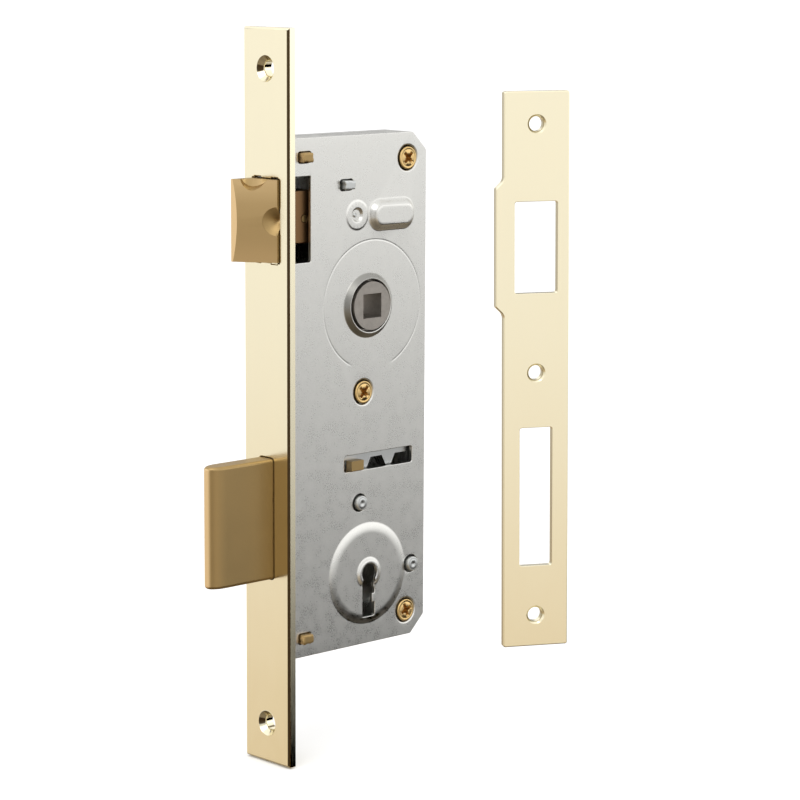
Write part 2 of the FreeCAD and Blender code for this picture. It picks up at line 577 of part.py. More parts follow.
def lever_outline(number):
    """A sliding lever: gates in the lower edge of its upper band, an open pocket, and a belly."""
    gates = [f"(stump_x+{i}*gate_pitch)" for i in range(GATES)]
    band = [("pocket_left", "gate_z"), (f"{gates[0]}+gate_top_half", "gate_z"),
            (f"{gates[0]}+gate_low_half", "tooth_z")]
    for gate in gates[1:]:
        band += [(f"{gate}-gate_low_half", "tooth_z"), (f"{gate}-gate_top_half", "gate_z"),
                 (f"{gate}+gate_top_half", "gate_z"), (f"{gate}+gate_low_half", "tooth_z")]
    # the last gate ends against the narrow tooth at the band's free end
    band[-2:] = [("last_tooth", "gate_z"), ("last_tooth", "tooth_z"), ("band_right", "tooth_z")]
    belly = f"belly_z-belly_step*{(number * 3) % 4}"
    lower = [("band_right", "lever_top"), ("lever_left", "lever_top"), ("lever_left", "lever_low"),
             ("key_x-2*belly_half", "lever_low"), ("key_x-belly_half", belly),
             ("key_x+belly_half", belly), ("key_x+2*belly_half", "lever_low"), ("leg_left", "lever_low"),
             ("leg_left", "leg_low"), ("tine_left", "leg_low"), ("tine_left", "tine_low"),
             ("lever_right", "tine_low"), ("lever_right", "pocket_low"), ("pocket_left", "pocket_low")]
    return band + lower


def lever(number):
    body = new_body(f"lever_{number}")
    front = f"(lever_front+{number - 1}*lever_pitch)"
    add(body, "XZ", front, f"{front}+lever_thick", lever_outline(number))
    half = "(post_radius+post_gap)"
    cut(body, "XZ", front, f"{front}+lever_thick",
        box(f"post_x-{half}", f"post_z-{half}-lever_lift", f"post_x+{half}", f"post_z+{half}"))


def lever_spring(number):
    coil(f"lever_spring_{number}", "lever_spring_radius", "lever_spring_wire/2", "rail_low-lever_top",
         "lever_spring_turns",
         f"lever_spring_x+{number - 1}*lever_spring_step",
         f"lever_front+{number - 1}*lever_pitch+lever_thick/2", "lever_top+lever_spring_wire/2")


def lever_spring_rail():
    """The steel strip that the levers' springs push against, riveted to the case's back."""
    body = new_body("lever_spring_rail")
    top = "rail_low+rail_thick"
    add(body, "XZ", f"-{INNER}+lug_gap/2", INNER, box("lever_left", "rail_low", "rail_rear", top))
    add(body, "XZ", f"{INNER}-rail_thick", INNER,
        box("lever_left", "rail_low-rail_foot", "rail_rear", top))


# ---- strike plate --------------------------------------------------------------------------------

def strike_outline():
    """The loose strike plate's edge, with the lip that leads the latch in."""
    half, top, corner = "strike_width/2", "strike_height/2", "strike_corner"
    return [(f"-{half}+{corner}", f"-{top}"), (f"{half}-{corner}", f"-{top}"),
            (half, f"-{top}+{corner}"), (half, f"{top}-{corner}"), (f"{half}-{corner}", top),
            (f"-{half}+{corner}", top), (f"-{half}", f"{top}-{corner}"),
            (f"-{half}", "lip_high+lip_slope"), (f"-{half}-lip_out", "lip_high"),
            (f"-{half}-lip_out", "lip_low"), (f"-{half}", "lip_low-lip_slope"),
            (f"-{half}", f"-{top}+{corner}")]


def strike_plate():
    body = new_body("strike_plate")
    add(body, "XZ", 0, "strike_thick", strike_outline())
    holes = ["strike_screws/2", "0", "-strike_screws/2"]
    cut(body, "XZ", 0, "strike_thick", box("keep_left", "keep_low", "keep_right", "keep_high"),
        box("-bolt_keep_half", "bolt_keep_low", "bolt_keep_half", "bolt_keep_high"),
        *[circle(0, z, "strike_hole_radius") for z in holes])
    for z in holes:
        cone(body, "Subtractive", "XZ", "strike_sink_depth", 0, z,
             "strike_hole_radius", "strike_sink_radius", "strike_sink_depth")
    place(body, "strike_x", "strike_y", "strike_z",
          FreeCAD.Rotation(DIMENSIONS["strike_yaw"], DIMENSIONS["strike_lean"], 0))


# ---- the whole lock ------------------------------------------------------------------------------

forend_plate()
forend_bracket("forend_bracket_upper", "")
forend_bracket("forend_bracket_lower", "-")
case_body()
case_cover()
for corner_name, (screw_x, screw_z) in SCREWS.items():
    cover_screw(f"cover_screw_{corner_name}", screw_x, screw_z)
    screw_pillar(f"screw_pillar_{corner_name}", screw_x, screw_z)
guide_post("guide_post_upper", "post_x", "post_z")
guide_post("guide_post_lower", "rear_post_x", "rear_post_z")
latch_head()
latch_stem()
latch_pin()
coil("latch_spring", "latch_spring_radius", "latch_spring_wire/2", "web_front-tail_rear",
     "latch_spring_turns", "tail_rear+latch_spring_wire/2", 0, "latch_z",
     FreeCAD.Rotation(FreeCAD.Vector(0, 1, 0), 90))
latch_guide()
rest_pin()
spindle_hub()
coil("hub_spring", "hub_spring_radius", "hub_spring_wire/2", "hub_spring_high-hub_spring_low",
     "hub_spring_turns", "hub_spring_x", 0, "hub_spring_low+hub_spring_wire/2")
hub_spring_seat()
deadbolt_head()
deadbolt_tail()
deadbolt_rivets()
bolt_stump()
for lever_number in range(1, LEVERS + 1):
    lever(lever_number)
    lever_spring(lever_number)
lever_spring_rail()
strike_plate()

doc.recompute()
for item in doc.Objects:
    if "Invalid" in item.State or "Error" in item.State:
        raise RuntimeError(f"{item.Name} failed: {item.State}")
os.makedirs("parts", exist_ok=True)
for part in parts:
    if part.Shape.isNull() or not part.Shape.isValid():
        raise RuntimeError(f"{part.Label} has no valid shape")
    part.Shape.exportStep(f"parts/{part.Label}.step")
    print(part.Label, len(part.Shape.Solids), round(part.Shape.Volume, 1))
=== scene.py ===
import bmesh
import bpy
import json
import math
import numpy as np
from mathutils import Matrix, Vector, geometry, noise


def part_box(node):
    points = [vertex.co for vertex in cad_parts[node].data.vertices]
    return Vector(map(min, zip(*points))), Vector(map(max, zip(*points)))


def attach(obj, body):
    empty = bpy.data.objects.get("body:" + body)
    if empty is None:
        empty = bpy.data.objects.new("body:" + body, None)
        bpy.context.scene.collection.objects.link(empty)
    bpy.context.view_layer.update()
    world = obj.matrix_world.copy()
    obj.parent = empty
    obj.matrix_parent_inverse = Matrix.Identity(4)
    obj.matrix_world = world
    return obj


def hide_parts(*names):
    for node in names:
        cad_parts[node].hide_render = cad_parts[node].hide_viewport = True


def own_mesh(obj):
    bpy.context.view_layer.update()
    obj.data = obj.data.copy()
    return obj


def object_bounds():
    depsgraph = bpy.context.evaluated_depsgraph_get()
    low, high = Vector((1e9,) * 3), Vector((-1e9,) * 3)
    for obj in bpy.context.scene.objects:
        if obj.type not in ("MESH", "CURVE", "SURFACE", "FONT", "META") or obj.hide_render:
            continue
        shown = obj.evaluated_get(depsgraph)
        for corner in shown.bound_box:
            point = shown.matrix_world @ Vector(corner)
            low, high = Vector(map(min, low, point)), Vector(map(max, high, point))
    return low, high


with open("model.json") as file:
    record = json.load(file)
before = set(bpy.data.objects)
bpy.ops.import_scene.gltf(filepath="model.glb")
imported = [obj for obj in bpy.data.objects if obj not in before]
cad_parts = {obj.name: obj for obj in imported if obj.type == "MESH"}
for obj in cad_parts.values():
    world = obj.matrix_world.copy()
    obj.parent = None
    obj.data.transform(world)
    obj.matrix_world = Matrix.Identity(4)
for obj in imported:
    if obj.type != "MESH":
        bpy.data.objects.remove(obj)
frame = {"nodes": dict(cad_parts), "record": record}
CAD_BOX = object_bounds()

# Sizes are in millimetres and turned into metres where a mesh is made.
MM = 0.001
UP = Vector((0, 0, 1))


# ---- places, read from the frame -----------------------------------------------------------------

def extent(node):
    """A CAD node's lowest and highest corner, in millimetres."""
    low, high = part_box(node)
    return low / MM, high / MM


def centre(node):
    low, high = extent(node)
    return (low + high) / 2


def mount(name):
    """A mount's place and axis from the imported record, in millimetres."""
    found = next(m for m in frame["record"]["mounts"] if m["name"] == name)
    return Vector(found["pos_m"]) / MM, Vector(found["axis"])


# ---- camera, floor and light ---------------------------------------------------------------------

CAMERA_AT = Vector((-577.4, -674.1, 147.2))
AZIMUTH, ELEVATION, ROLL = (math.radians(angle) for angle in (-43.226, 9.389, 0.302))
LENS = 125.1
SENSOR = 36
FLOOR_GAP = 0.5
FLOOR_SIZE = 60000


def camera_axes():
    """The camera's right, up and backward directions."""
    back = Vector((math.sin(AZIMUTH) * math.cos(ELEVATION),
                   -math.cos(AZIMUTH) * math.cos(ELEVATION), math.sin(ELEVATION)))
    right = Vector((math.cos(AZIMUTH), math.sin(AZIMUTH), 0))
    up = back.cross(right)
    turned_right = right * math.cos(ROLL) + up * math.sin(ROLL)
    turned_up = up * math.cos(ROLL) - right * math.sin(ROLL)
    return turned_right, turned_up, back


def make_camera():
    data = bpy.data.cameras.new("camera")
    data.lens, data.sensor_width = LENS, SENSOR
    data.clip_start, data.clip_end = 0.01, 100
    camera = bpy.data.objects.new("camera", data)
    bpy.context.scene.collection.objects.link(camera)
    camera.matrix_world = Matrix.Translation(CAMERA_AT * MM) @ Matrix(camera_axes()).transposed().to_4x4()
    bpy.context.scene.camera = camera


def make_floor():
    """A white floor just below the object. Metal reflects the studio's lower half in its place."""
    level = CAD_BOX[0].z - FLOOR_GAP * MM
    half = FLOOR_SIZE * MM / 2
    mesh = bpy.data.meshes.new("floor")
    corners = [(-half, -half, level), (half, -half, level), (half, half, level), (-half, half, level)]
    mesh.from_pydata(corners, [], [(0, 1, 2, 3)])
    floor = bpy.data.objects.new("floor", mesh)
    bpy.context.scene.collection.objects.link(floor)
    floor.visible_glossy = False
    paint = bpy.data.materials.new("floor_white")
    paint.use_nodes = True
    shader = paint.node_tree.nodes["Principled BSDF"]
    shader.inputs["Base Color"].default_value = (0.93, 0.93, 0.93, 1)
    shader.inputs["Roughness"].default_value = 0.9
    shader.inputs["Specular IOR Level"].default_value = 0.0
    mesh.materials.append(paint)


def area_light(name, spot, target, size, watts):
    data = bpy.data.lights.new(name, "AREA")
    data.shape, data.size, data.energy = "DISK", size * MM, watts
    light = bpy.data.objects.new(name, data)
    bpy.context.scene.collection.objects.link(light)
    spot, target = Vector(spot) * MM, Vector(target) * MM
    light.location = spot
    light.rotation_mode = "QUATERNION"
    light.rotation_quaternion = (target - spot).to_track_quat("-Z", "Y")


class Tree:
    """A short way to write a node tree: node(kind, input=value or socket, ...) gives the new node."""

    def __init__(self, tree):
        self.tree = tree

    def node(self, kind, settings=None, **inputs):
        made = self.tree.nodes.new(kind)
        for key, value in (settings or {}).items():
            setattr(made, key, value)
        for key, value in inputs.items():
            index = int(key[1:]) if key[1:].isdigit() else key.replace("_", " ")
            socket = made.inputs[index]
            if isinstance(value, bpy.types.NodeSocket):
                self.tree.links.new(value, socket)
            else:
                socket.default_value = value
        return made

    def math(self, operation, first, second=0.0, clamp=False):
        settings = {"operation": operation, "use_clamp": clamp}
        return self.node("ShaderNodeMath", settings, _0=first, _1=second).outputs[0]

    def remap(self, value, low, high, to_low, to_high, kind="SMOOTHSTEP"):
        made = self.node("ShaderNodeMapRange", {"interpolation_type": kind}, Value=value,
                         From_Min=low, From_Max=high, To_Min=to_low, To_Max=to_high)
        return made.outputs[0]

    def mix(self, share, first, second):
        made = self.node("ShaderNodeMix", {"data_type": "RGBA"}, _0=share, _6=first, _7=second)
        return made.outputs[2]

    def ramp(self, value, stops):
        made = self.node("ShaderNodeValToRGB", _0=value)
        points = made.color_ramp.elements
        while len(points) < len(stops):
            points.new(0.5)
        for point, (position, level) in zip(points, stops):
            point.position = position
            point.color = (level, level, level, 1)
        return made.outputs[0]


# brightness of the studio from straight down (0) through the horizon (0.5) to straight up (1)
STUDIO = [(0.0, 0.15), (0.22, 0.42), (0.34, 0.72), (0.42, 0.96), (0.5, 1.04), (0.65, 1.08), (1.0, 1.15)]
COVER_SIDE = Vector((0.68, -0.73, 0))
DARK_CORNER = Vector((0.68, 0.73, 0.04))
FLOOR_WARMTH = (1.0, 0.82, 0.58, 1)
STAND_HALF = (0.12, 0.25)
STAND_DARK = 0.5
# Changes of brightness on the cover's side, each between two heights of the reflected ray.
# The two below the horizon darken the case downwards, and the one above it softens the top.
COVER_MIDDLE = (-0.17, 0.04, -0.79)
COVER_BOTTOM = (-0.33, -0.16, -1.25)
COVER_HIGH = (0.1, 0.5, -0.5)
COVER_LEVEL = 0.6
STUDIO_LEVEL = 1.08


def make_studio():
    """A soft white studio that darkens downwards, with the dark camera stand showing in reflections."""
    world = bpy.data.worlds.new("studio")
    bpy.context.scene.world = world
    world.use_nodes = True
    tree = Tree(world.node_tree)
    world.node_tree.nodes.clear()
    ray = tree.node("ShaderNodeTexCoord").outputs["Generated"]

    def towards(direction):
        settings = {"operation": "DOT_PRODUCT"}
        return tree.node("ShaderNodeVectorMath", settings, _0=ray, _1=direction).outputs["Value"]

    right, _, back = camera_axes()
    height = towards(UP)
    level = tree.ramp(tree.remap(height, -1, 1, 0, 1, "LINEAR"), STUDIO)
    cover_side = tree.remap(towards(COVER_SIDE), 0.6, 0.95, 0.0, 1.0)
    middle = tree.math("MULTIPLY", tree.remap(height, *COVER_MIDDLE[:2], 1.0, 0.0), COVER_MIDDLE[2])
    bottom = tree.math("MULTIPLY", tree.remap(height, *COVER_BOTTOM[:2], 1.0, 0.0), COVER_BOTTOM[2])
    low = tree.math("ADD", middle, bottom)
    high = tree.math("MULTIPLY", tree.remap(height, *COVER_HIGH[:2], 0.0, 1.0), COVER_HIGH[2])
    swing = tree.math("ADD", tree.math("ADD", low, high), COVER_LEVEL)
    side = tree.math("ADD", tree.math("MULTIPLY", cover_side, swing), STUDIO_LEVEL)
    level = tree.math("MULTIPLY", level, side)
    aside = tree.math("ABSOLUTE", towards(right))
    stand = tree.remap(aside, *STAND_HALF, 1.0, 0.0)
    stand = tree.math("MULTIPLY", stand, tree.remap(towards(back), 0.3, 0.6, 0.0, 1.0))
    stand = tree.math("MULTIPLY", stand, tree.remap(height, 0.3, 0.6, 1.0, 0.0))
    shadow = tree.math("MULTIPLY", stand, 1 - STAND_DARK)
    level = tree.math("MULTIPLY", level, tree.math("SUBTRACT", 1.0, shadow))
    behind = tree.remap(towards(DARK_CORNER.normalized()), 0.95, 0.99, 1.0, 0.25)
    level = tree.math("MULTIPLY", level, behind)
    warmth = tree.math("MULTIPLY", tree.remap(height, -0.34, -0.12, 1.0, 0.0),
                       tree.math("SUBTRACT", 1.0, cover_side))
    colour = tree.mix(warmth, (1, 1, 1, 1), FLOOR_WARMTH)
    seen = tree.node("ShaderNodeLightPath").outputs["Is Camera Ray"]
    strength = tree.math("ADD", tree.math("MULTIPLY", level, tree.math("SUBTRACT", 1.0, seen)), seen)
    background = tree.node("ShaderNodeBackground", Color=tree.mix(seen, colour, (1, 1, 1, 1)),
                           Strength=strength)
    tree.node("ShaderNodeOutputWorld", Surface=background.outputs[0])


make_camera()
make_floor()
make_studio()
area_light("key_light", (-900, -700, 1400), (0, 0, 0), 1600, 9)
bpy.context.scene.view_settings.view_transform = "Standard"


# ---- materials -----------------------------------------------------------------------------------

def facing(direction, low, high):
    """A mask for the faces that look in a direction."""
    def mask(tree):
        normal = tree.node("ShaderNodeNewGeometry").outputs["Normal"]
        along = tree.node("ShaderNodeVectorMath", {"operation": "DOT_PRODUCT"}, _0=normal, _1=direction)
        return tree.remap(along.outputs["Value"], low, high, 0.0, 1.0)
    return mask


def ringed(x, z, inner, outer):
    """A mask for a ring about a line across the case, in millimetres."""
    def mask(tree):
        place = tree.node("ShaderNodeSeparateXYZ", Vector=tree.node("ShaderNodeTexCoord").outputs["Object"])
        across = tree.math("SUBTRACT", place.outputs["X"], x * MM)
        along = tree.math("SUBTRACT", place.outputs["Z"], z * MM)
        away = tree.math("SQRT", tree.math("ADD", tree.math("MULTIPLY", across, across),
                                           tree.math("MULTIPLY", along, along)))
        soft = 0.25 * MM
        within = tree.remap(away, outer * MM - soft, outer * MM + soft, 1.0, 0.0)
        return tree.math("MULTIPLY", within, tree.remap(away, inner * MM - soft, inner * MM, 0.0, 1.0))
    return mask


def metal(name, colour, roughness, grain, mottle, painted_light=None):
    """A metal whose grain and mottling change its colour, gloss and surface.

    grain is (cycles per mm along x, y and z, colour share, roughness swing, height in mm);
    mottle is (cycles per mm, colour share, roughness swing);
    the last argument, where given, is a mask and the colour that its places take: painted light, a highlight
    in one material and shade in the others.
    """
    paint = bpy.data.materials.new(name)
    paint.use_nodes = True
    shader = paint.node_tree.nodes["Principled BSDF"]
    tree = Tree(paint.node_tree)
    place = tree.node("ShaderNodeTexCoord").outputs["Object"]
    scale, grain_share, grain_gloss, grain_height = grain
    stretched = tree.node("ShaderNodeMapping", Vector=place, Scale=[s / MM for s in scale])
    fine = tree.node("ShaderNodeTexNoise", Vector=stretched.outputs[0], Scale=1.0, Detail=4.0,
                     Roughness=0.6).outputs["Fac"]
    mottle_scale, mottle_share, mottle_gloss = mottle
    broad = tree.node("ShaderNodeTexNoise", Vector=place, Scale=mottle_scale / MM, Detail=5.0,
                      Roughness=0.55).outputs["Fac"]
    fine_swing = tree.remap(fine, 0.3, 0.7, -1, 1, "LINEAR")
    broad_swing = tree.remap(broad, 0.3, 0.7, -1, 1, "LINEAR")
    share = tree.math("ADD", tree.math("MULTIPLY", fine_swing, grain_share),
                      tree.math("MULTIPLY", broad_swing, mottle_share))
    share = tree.math("ADD", share, 0.5, clamp=True)
    dark = [c * 0.85 for c in colour] + [1]
    light = [min(c * 1.15, 1) for c in colour] + [1]
    shade = tree.mix(share, dark, light)
    # Painted light: the mask's places take another colour, lighter for a highlight and darker for shade.
    if painted_light:
        mask, other = painted_light
        shade = tree.mix(mask(tree), shade, (*other, 1))
    tree.tree.links.new(shade, shader.inputs["Base Color"])
    gloss = tree.math("ADD", tree.math("MULTIPLY", fine_swing, grain_gloss),
                      tree.math("MULTIPLY", broad_swing, mottle_gloss))
    tree.tree.links.new(tree.math("ADD", gloss, roughness, clamp=True), shader.inputs["Roughness"])
    bump = tree.node("ShaderNodeBump", Height=fine, Strength=1.0, Distance=grain_height * MM)
    tree.tree.links.new(bump.outputs[0], shader.inputs["Normal"])
    shader.inputs["Metallic"].default_value = 1.0
    return paint


SATIN = ((0.90, 0.81, 0.60), 0.19, ((3.5, 3.5, 0.1), 0.05, 0.03, 0.004), (0.05, 0.03, 0.02))
SATIN_BRASS = metal("satin_brass", *SATIN)
# Painted highlight: every bronze face that turns towards -X takes a lighter colour, meant for the noses of
# the latch and the deadbolt.
BRONZE = metal("bronze_brass", (0.38, 0.262, 0.115), 0.44, ((3, 3, 3), 0.05, 0.03, 0.006),
               (0.12, 0.06, 0.02), (facing((-1, 0, 0), 0.72, 0.96), (0.80, 0.59, 0.33)))
# A darker bronze for the latch's tail inside the case: painted shade where the case shades it.
PAINTED_SHADE_BRASS = metal("painted_shade_brass", (0.23, 0.13, 0.06), 0.44, ((3, 3, 3), 0.05, 0.03, 0.006),
                   (0.12, 0.06, 0.02))
SHEET = ((0.64, 0.635, 0.605), 0.31, ((2.4, 2.4, 2.4), 0.16, 0.05, 0.014), (0.25, 0.12, 0.04))
ZINC = metal("zinc_sheet", *SHEET)
STEEL = metal("bright_steel", (0.52, 0.53, 0.52), 0.36, ((3, 3, 3), 0.15, 0.05, 0.01),
              (0.4, 0.12, 0.05))
SINTER = metal("hub_steel", (0.34, 0.315, 0.285), 0.46, ((1.6, 1.6, 1.6), 0.3, 0.08, 0.03), (0.5, 0.4, 0.06))
DARK = metal("lever_steel", (0.42, 0.42, 0.41), 0.4, ((3, 3, 3), 0.1, 0.05, 0.01), (0.3, 0.1, 0.05))
SCREW = metal("screw_brass", (0.66, 0.46, 0.20), 0.34, ((2.5, 2.5, 2.5), 0.2, 0.06, 0.012),
              (0.5, 0.15, 0.05))
WIRE = metal("spring_wire", (0.42, 0.42, 0.43), 0.3, ((4, 4, 4), 0.1, 0.05, 0.005), (0.5, 0.1, 0.05))
PAINTS = {"satin_brass": SATIN_BRASS, "bronze_brass": BRONZE, "zinc_sheet": ZINC, "bright_steel": STEEL,
          "lever_steel": DARK, "screw_brass": SCREW, "spring_wire": WIRE}
SLOTS = {part["node"]: part["material_slot"] for part in frame["record"]["subparts"]}


# ---- shapes --------------------------------------------------------------------------------------

def ring(u, v, radius, count=72):
    turns = np.linspace(0, 2 * np.pi, count, endpoint=False)
    return np.array([u, v]) + radius * np.stack([np.cos(turns), np.sin(turns)], 1)


def box(left, low, right, high):
    return [(left, low), (right, low), (right, high), (left, high)]


def rounded(corners, radius, steps=5):
    """A closed outline whose corners are arcs. radius is one number, or one for each corner."""
    corners = np.array(corners, float)
    radii = np.broadcast_to(radius, len(corners))
    points = []
    for before, corner, after, r in zip(np.roll(corners, 1, 0), corners, np.roll(corners, -1, 0), radii):
        back, on = before - corner, after - corner
        back, on = back / np.linalg.norm(back), on / np.linalg.norm(on)
        half = math.acos(np.clip(back @ on, -1, 1)) / 2
        if r == 0 or half > math.pi / 2 - 0.01:
            points.append(corner)
            continue
        middle = corner + (back + on) / np.linalg.norm(back + on) * r / math.sin(half)
        start = corner + back * r / math.tan(half) - middle
        end = corner + on * r / math.tan(half) - middle
        first = math.atan2(start[1], start[0])
        sweep = (math.atan2(end[1], end[0]) - first + math.pi) % (2 * math.pi) - math.pi
        for share in np.linspace(0, 1, steps + 1):
            turn = first + sweep * share
            points.append(middle + r * np.array([math.cos(turn), math.sin(turn)]))
    return np.array(points)


def turning(loop):
    """Twice the area that a closed loop turns round, above zero if it runs anticlockwise."""
    after = np.roll(loop, -1, 0)
    return float(np.sum(loop[:, 0] * after[:, 1] - after[:, 0] * loop[:, 1]))


def inset(loop, distance):
    """A closed loop moved to its left by a distance."""
    before, after = loop - np.roll(loop, 1, 0), np.roll(loop, -1, 0) - loop
    before /= np.linalg.norm(before, axis=1)[:, None]
    after /= np.linalg.norm(after, axis=1)[:, None]
    left_before = np.stack([-before[:, 1], before[:, 0]], 1)
    left_after = np.stack([-after[:, 1], after[:, 0]], 1)
    spread = 1 + np.sum(left_before * left_after, 1)
    return loop + distance * (left_before + left_after) / np.maximum(spread, 0.3)[:, None]


def segments(loops):
    starts = np.concatenate(loops)
    ends = np.concatenate([np.roll(loop, -1, 0) for loop in loops])
    return starts, ends


def distance_to(points, loops):
    """Each point's distance to the nearest side of the loops."""
    starts, ends = segments(loops)
    nearest = np.full(len(points), 1e9)
    for start, end in zip(starts, ends):
        side = end - start
        share = np.clip(((points - start) @ side) / (side @ side), 0, 1)
        nearest = np.minimum(nearest, np.linalg.norm(points - start - share[:, None] * side, axis=1))
    return nearest


def inside(points, loops):
    """Whether each point is inside an odd number of the loops."""
    starts, ends = segments(loops)
    odd = np.zeros(len(points), bool)
    for start, end in zip(starts, ends):
        spans = (start[1] > points[:, 1]) != (end[1] > points[:, 1])
        if spans.any():
            cross = start[0] + (points[:, 1] - start[1]) / (end[1] - start[1] or 1) * (end[0] - start[0])
            odd ^= spans & (points[:, 0] < cross)
    return odd


def new_object(name, vertices, faces, place=None, sharp=40):
    """A mesh object from points in millimetres, shaded smooth up to an angle in degrees."""
    mesh = bpy.data.meshes.new(name)
    points = np.asarray(vertices, float) * MM
    mesh.from_pydata(points.tolist(), [], [tuple(int(i) for i in face) for face in faces])
    if place is not None:
        mesh.transform(place)
    piece = bpy.data.objects.new(name, mesh)
    bpy.context.scene.collection.objects.link(piece)
    smooth(piece, sharp)
    return piece


def smooth(piece, sharp=40):
    piece.data.shade_smooth()
    piece.data.set_sharp_from_angle(angle=math.radians(sharp))
    weighted = piece.modifiers.new("weighted", "WEIGHTED_NORMAL")
    weighted.keep_sharp = True
    weighted.weight = 60


def apply_modifiers(piece):
    """Replace a piece's mesh by what its modifiers make of it."""
    made = bpy.data.meshes.new_from_object(piece.evaluated_get(bpy.context.evaluated_depsgraph_get()))
    piece.modifiers.clear()
    piece.data = made


def axes(origin, right, up):
    """The matrix that puts a plate laid out in (right, up, out) at a place given in millimetres."""
    right, up = Vector(right).normalized(), Vector(up).normalized()
    turn = Matrix((right, up, right.cross(up))).transposed().to_4x4()
    return Matrix.Translation(Vector(origin) * MM) @ turn


PLATE_BACK_EDGE = 0.15


def plate(name, outline, holes, thickness, edge, place, lift=None, creases=(), chamfer=0):
    """A plate whose front may be pressed out of plane, with rounded rims at the front and the back.
    A chamfer, where one is given, takes the place of the outline's rounding at the front.

    The outline, the holes and the creases are closed loops in the plate's plane; lift gives the height
    of the front over it, and the back runs parallel. The creases are where the height changes.
    """
    rims = [outline if turning(outline) > 0 else outline[::-1]]
    rims += [hole if turning(hole) < 0 else hole[::-1] for hole in holes]
    shares = [1 - math.cos(math.pi / 2 * step / 4) for step in range(5)]
    loops = [inset(rim, edge * share) for rim in rims[1:] for share in shares]
    loops += [inset(rims[0], depth) for depth in ([0, chamfer] if chamfer else np.multiply(shares, edge))]
    loops += list(creases)
    points = np.concatenate(loops)
    sides, first = [], 0
    for loop in loops:
        count = len(loop)
        sides += [(first + i, first + (i + 1) % count) for i in range(count)]
        first += count
    flat, _, triangles, *_ = geometry.delaunay_2d_cdt([Vector(p) for p in points], sides, [], 0, 1e-5)
    flat = np.array(flat, float).reshape(-1, 2)
    triangles = np.array([t for t in triangles if len(t) == 3])
    triangles = triangles[inside(flat[triangles].mean(1), rims)]
    a, b, c = (flat[triangles[:, i]] for i in range(3))
    backward = (b[:, 0] - a[:, 0]) * (c[:, 1] - a[:, 1]) - (b[:, 1] - a[:, 1]) * (c[:, 0] - a[:, 0]) < 0
    triangles[backward] = triangles[backward][:, ::-1]
    used, triangles = np.unique(triangles, return_inverse=True)
    flat, triangles = flat[used], triangles.reshape(-1, 3)
    height = lift(flat[:, 0], flat[:, 1]) if lift else np.zeros(len(flat))
    to_outline = distance_to(flat, rims[:1])
    to_hole = distance_to(flat, rims[1:])

    def drop(radius, distance):
        inward = np.clip(radius - distance, 0, radius)
        return radius - np.sqrt(radius ** 2 - inward ** 2)

    cut_back = np.clip(chamfer - to_outline, 0, chamfer) if chamfer else drop(edge, to_outline)
    front = np.column_stack([flat, height - np.maximum(cut_back, drop(edge, to_hole))])
    to_rim = np.minimum(to_outline, to_hole)
    rear = np.column_stack([flat, height - thickness + drop(PLATE_BACK_EDGE, to_rim)])
    count = len(flat)
    faces = [tuple(t) for t in triangles] + [tuple(t[::-1] + count) for t in triangles]
    seen = {}
    for t in triangles:
        for i in range(3):
            seen[(t[i], t[(i + 1) % 3])] = True
    faces += [(b, a, a + count, b + count) for a, b in seen if (b, a) not in seen]
    return new_object(name, np.concatenate([front, rear]), faces, place)


def paint(piece, node_or_slot, material=None):
    slot = SLOTS.get(node_or_slot, node_or_slot)
    piece.data.materials.clear()
    piece.data.materials.append(material or PAINTS[slot])


def stand_for(piece, node, body, material=None):
    """Finish a piece that takes a CAD node's place."""
    paint(piece, node, material)
    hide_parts(node)
    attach(piece, body)


def solid(name, vertices, faces, sharp=35):
    """A closed mesh whose faces are turned outwards."""
    piece = new_object(name, vertices, faces, None, sharp)
    form = bmesh.new()
    form.from_mesh(piece.data)
    bmesh.ops.remove_doubles(form, verts=form.verts, dist=0.0002 * MM)
    bmesh.ops.recalc_face_normals(form, faces=form.faces)
    form.to_mesh(piece.data)
    form.free()
    return piece


def revolved(name, at, profile, count=64, turn=0.0):
    """A piece turned about a line across the case. The profile is (radius, distance in front)."""
    at = Vector(at)
    vertices, rings = [], []
    for radius, out in profile:
        if radius == 0:
            rings.append([len(vertices)] * count)
            vertices.append((at.x, -out, at.z))
            continue
        first = len(vertices)
        for i in range(count):
            angle = 2 * math.pi * i / count + turn
            vertices.append((at.x + radius * math.cos(angle), -out, at.z + radius * math.sin(angle)))
        rings.append(list(range(first, first + count)))
    faces = []
    for one, other in zip(rings, rings[1:]):
        for i in range(count):
            j = (i + 1) % count
            corners = [one[i], one[j], other[j], other[i]]
            faces.append(list(dict.fromkeys(corners)))
    return solid(name, vertices, faces)


def carve(piece, *cutters):
    """Cut pieces away from a piece, and remove the cutters."""
    for cutter in cutters:
        cut = piece.modifiers.new("cut", "BOOLEAN")
        cut.object, cut.operation, cut.solver = cutter, "DIFFERENCE", "EXACT"
    apply_modifiers(piece)
    for cutter in cutters:
        bpy.data.objects.remove(cutter)
    return piece


def soften(piece, width, steps=3, angle=30, sharp=35):
    """Round a piece's edges."""
    form = bmesh.new()
    form.from_mesh(piece.data)
    bmesh.ops.remove_doubles(form, verts=form.verts, dist=0.002 * MM)
    bmesh.ops.dissolve_limit(form, angle_limit=math.radians(1), verts=form.verts, edges=form.edges)
    form.to_mesh(piece.data)
    form.free()
    rounding = piece.modifiers.new("rounding", "BEVEL")
    rounding.width, rounding.segments = width * MM, steps
    rounding.limit_method, rounding.angle_limit = "ANGLE", math.radians(angle)
    rounding.use_clamp_overlap = True
    rounding.miter_outer = "MITER_ARC"
    apply_modifiers(piece)
    smooth(piece, sharp)
    return piece


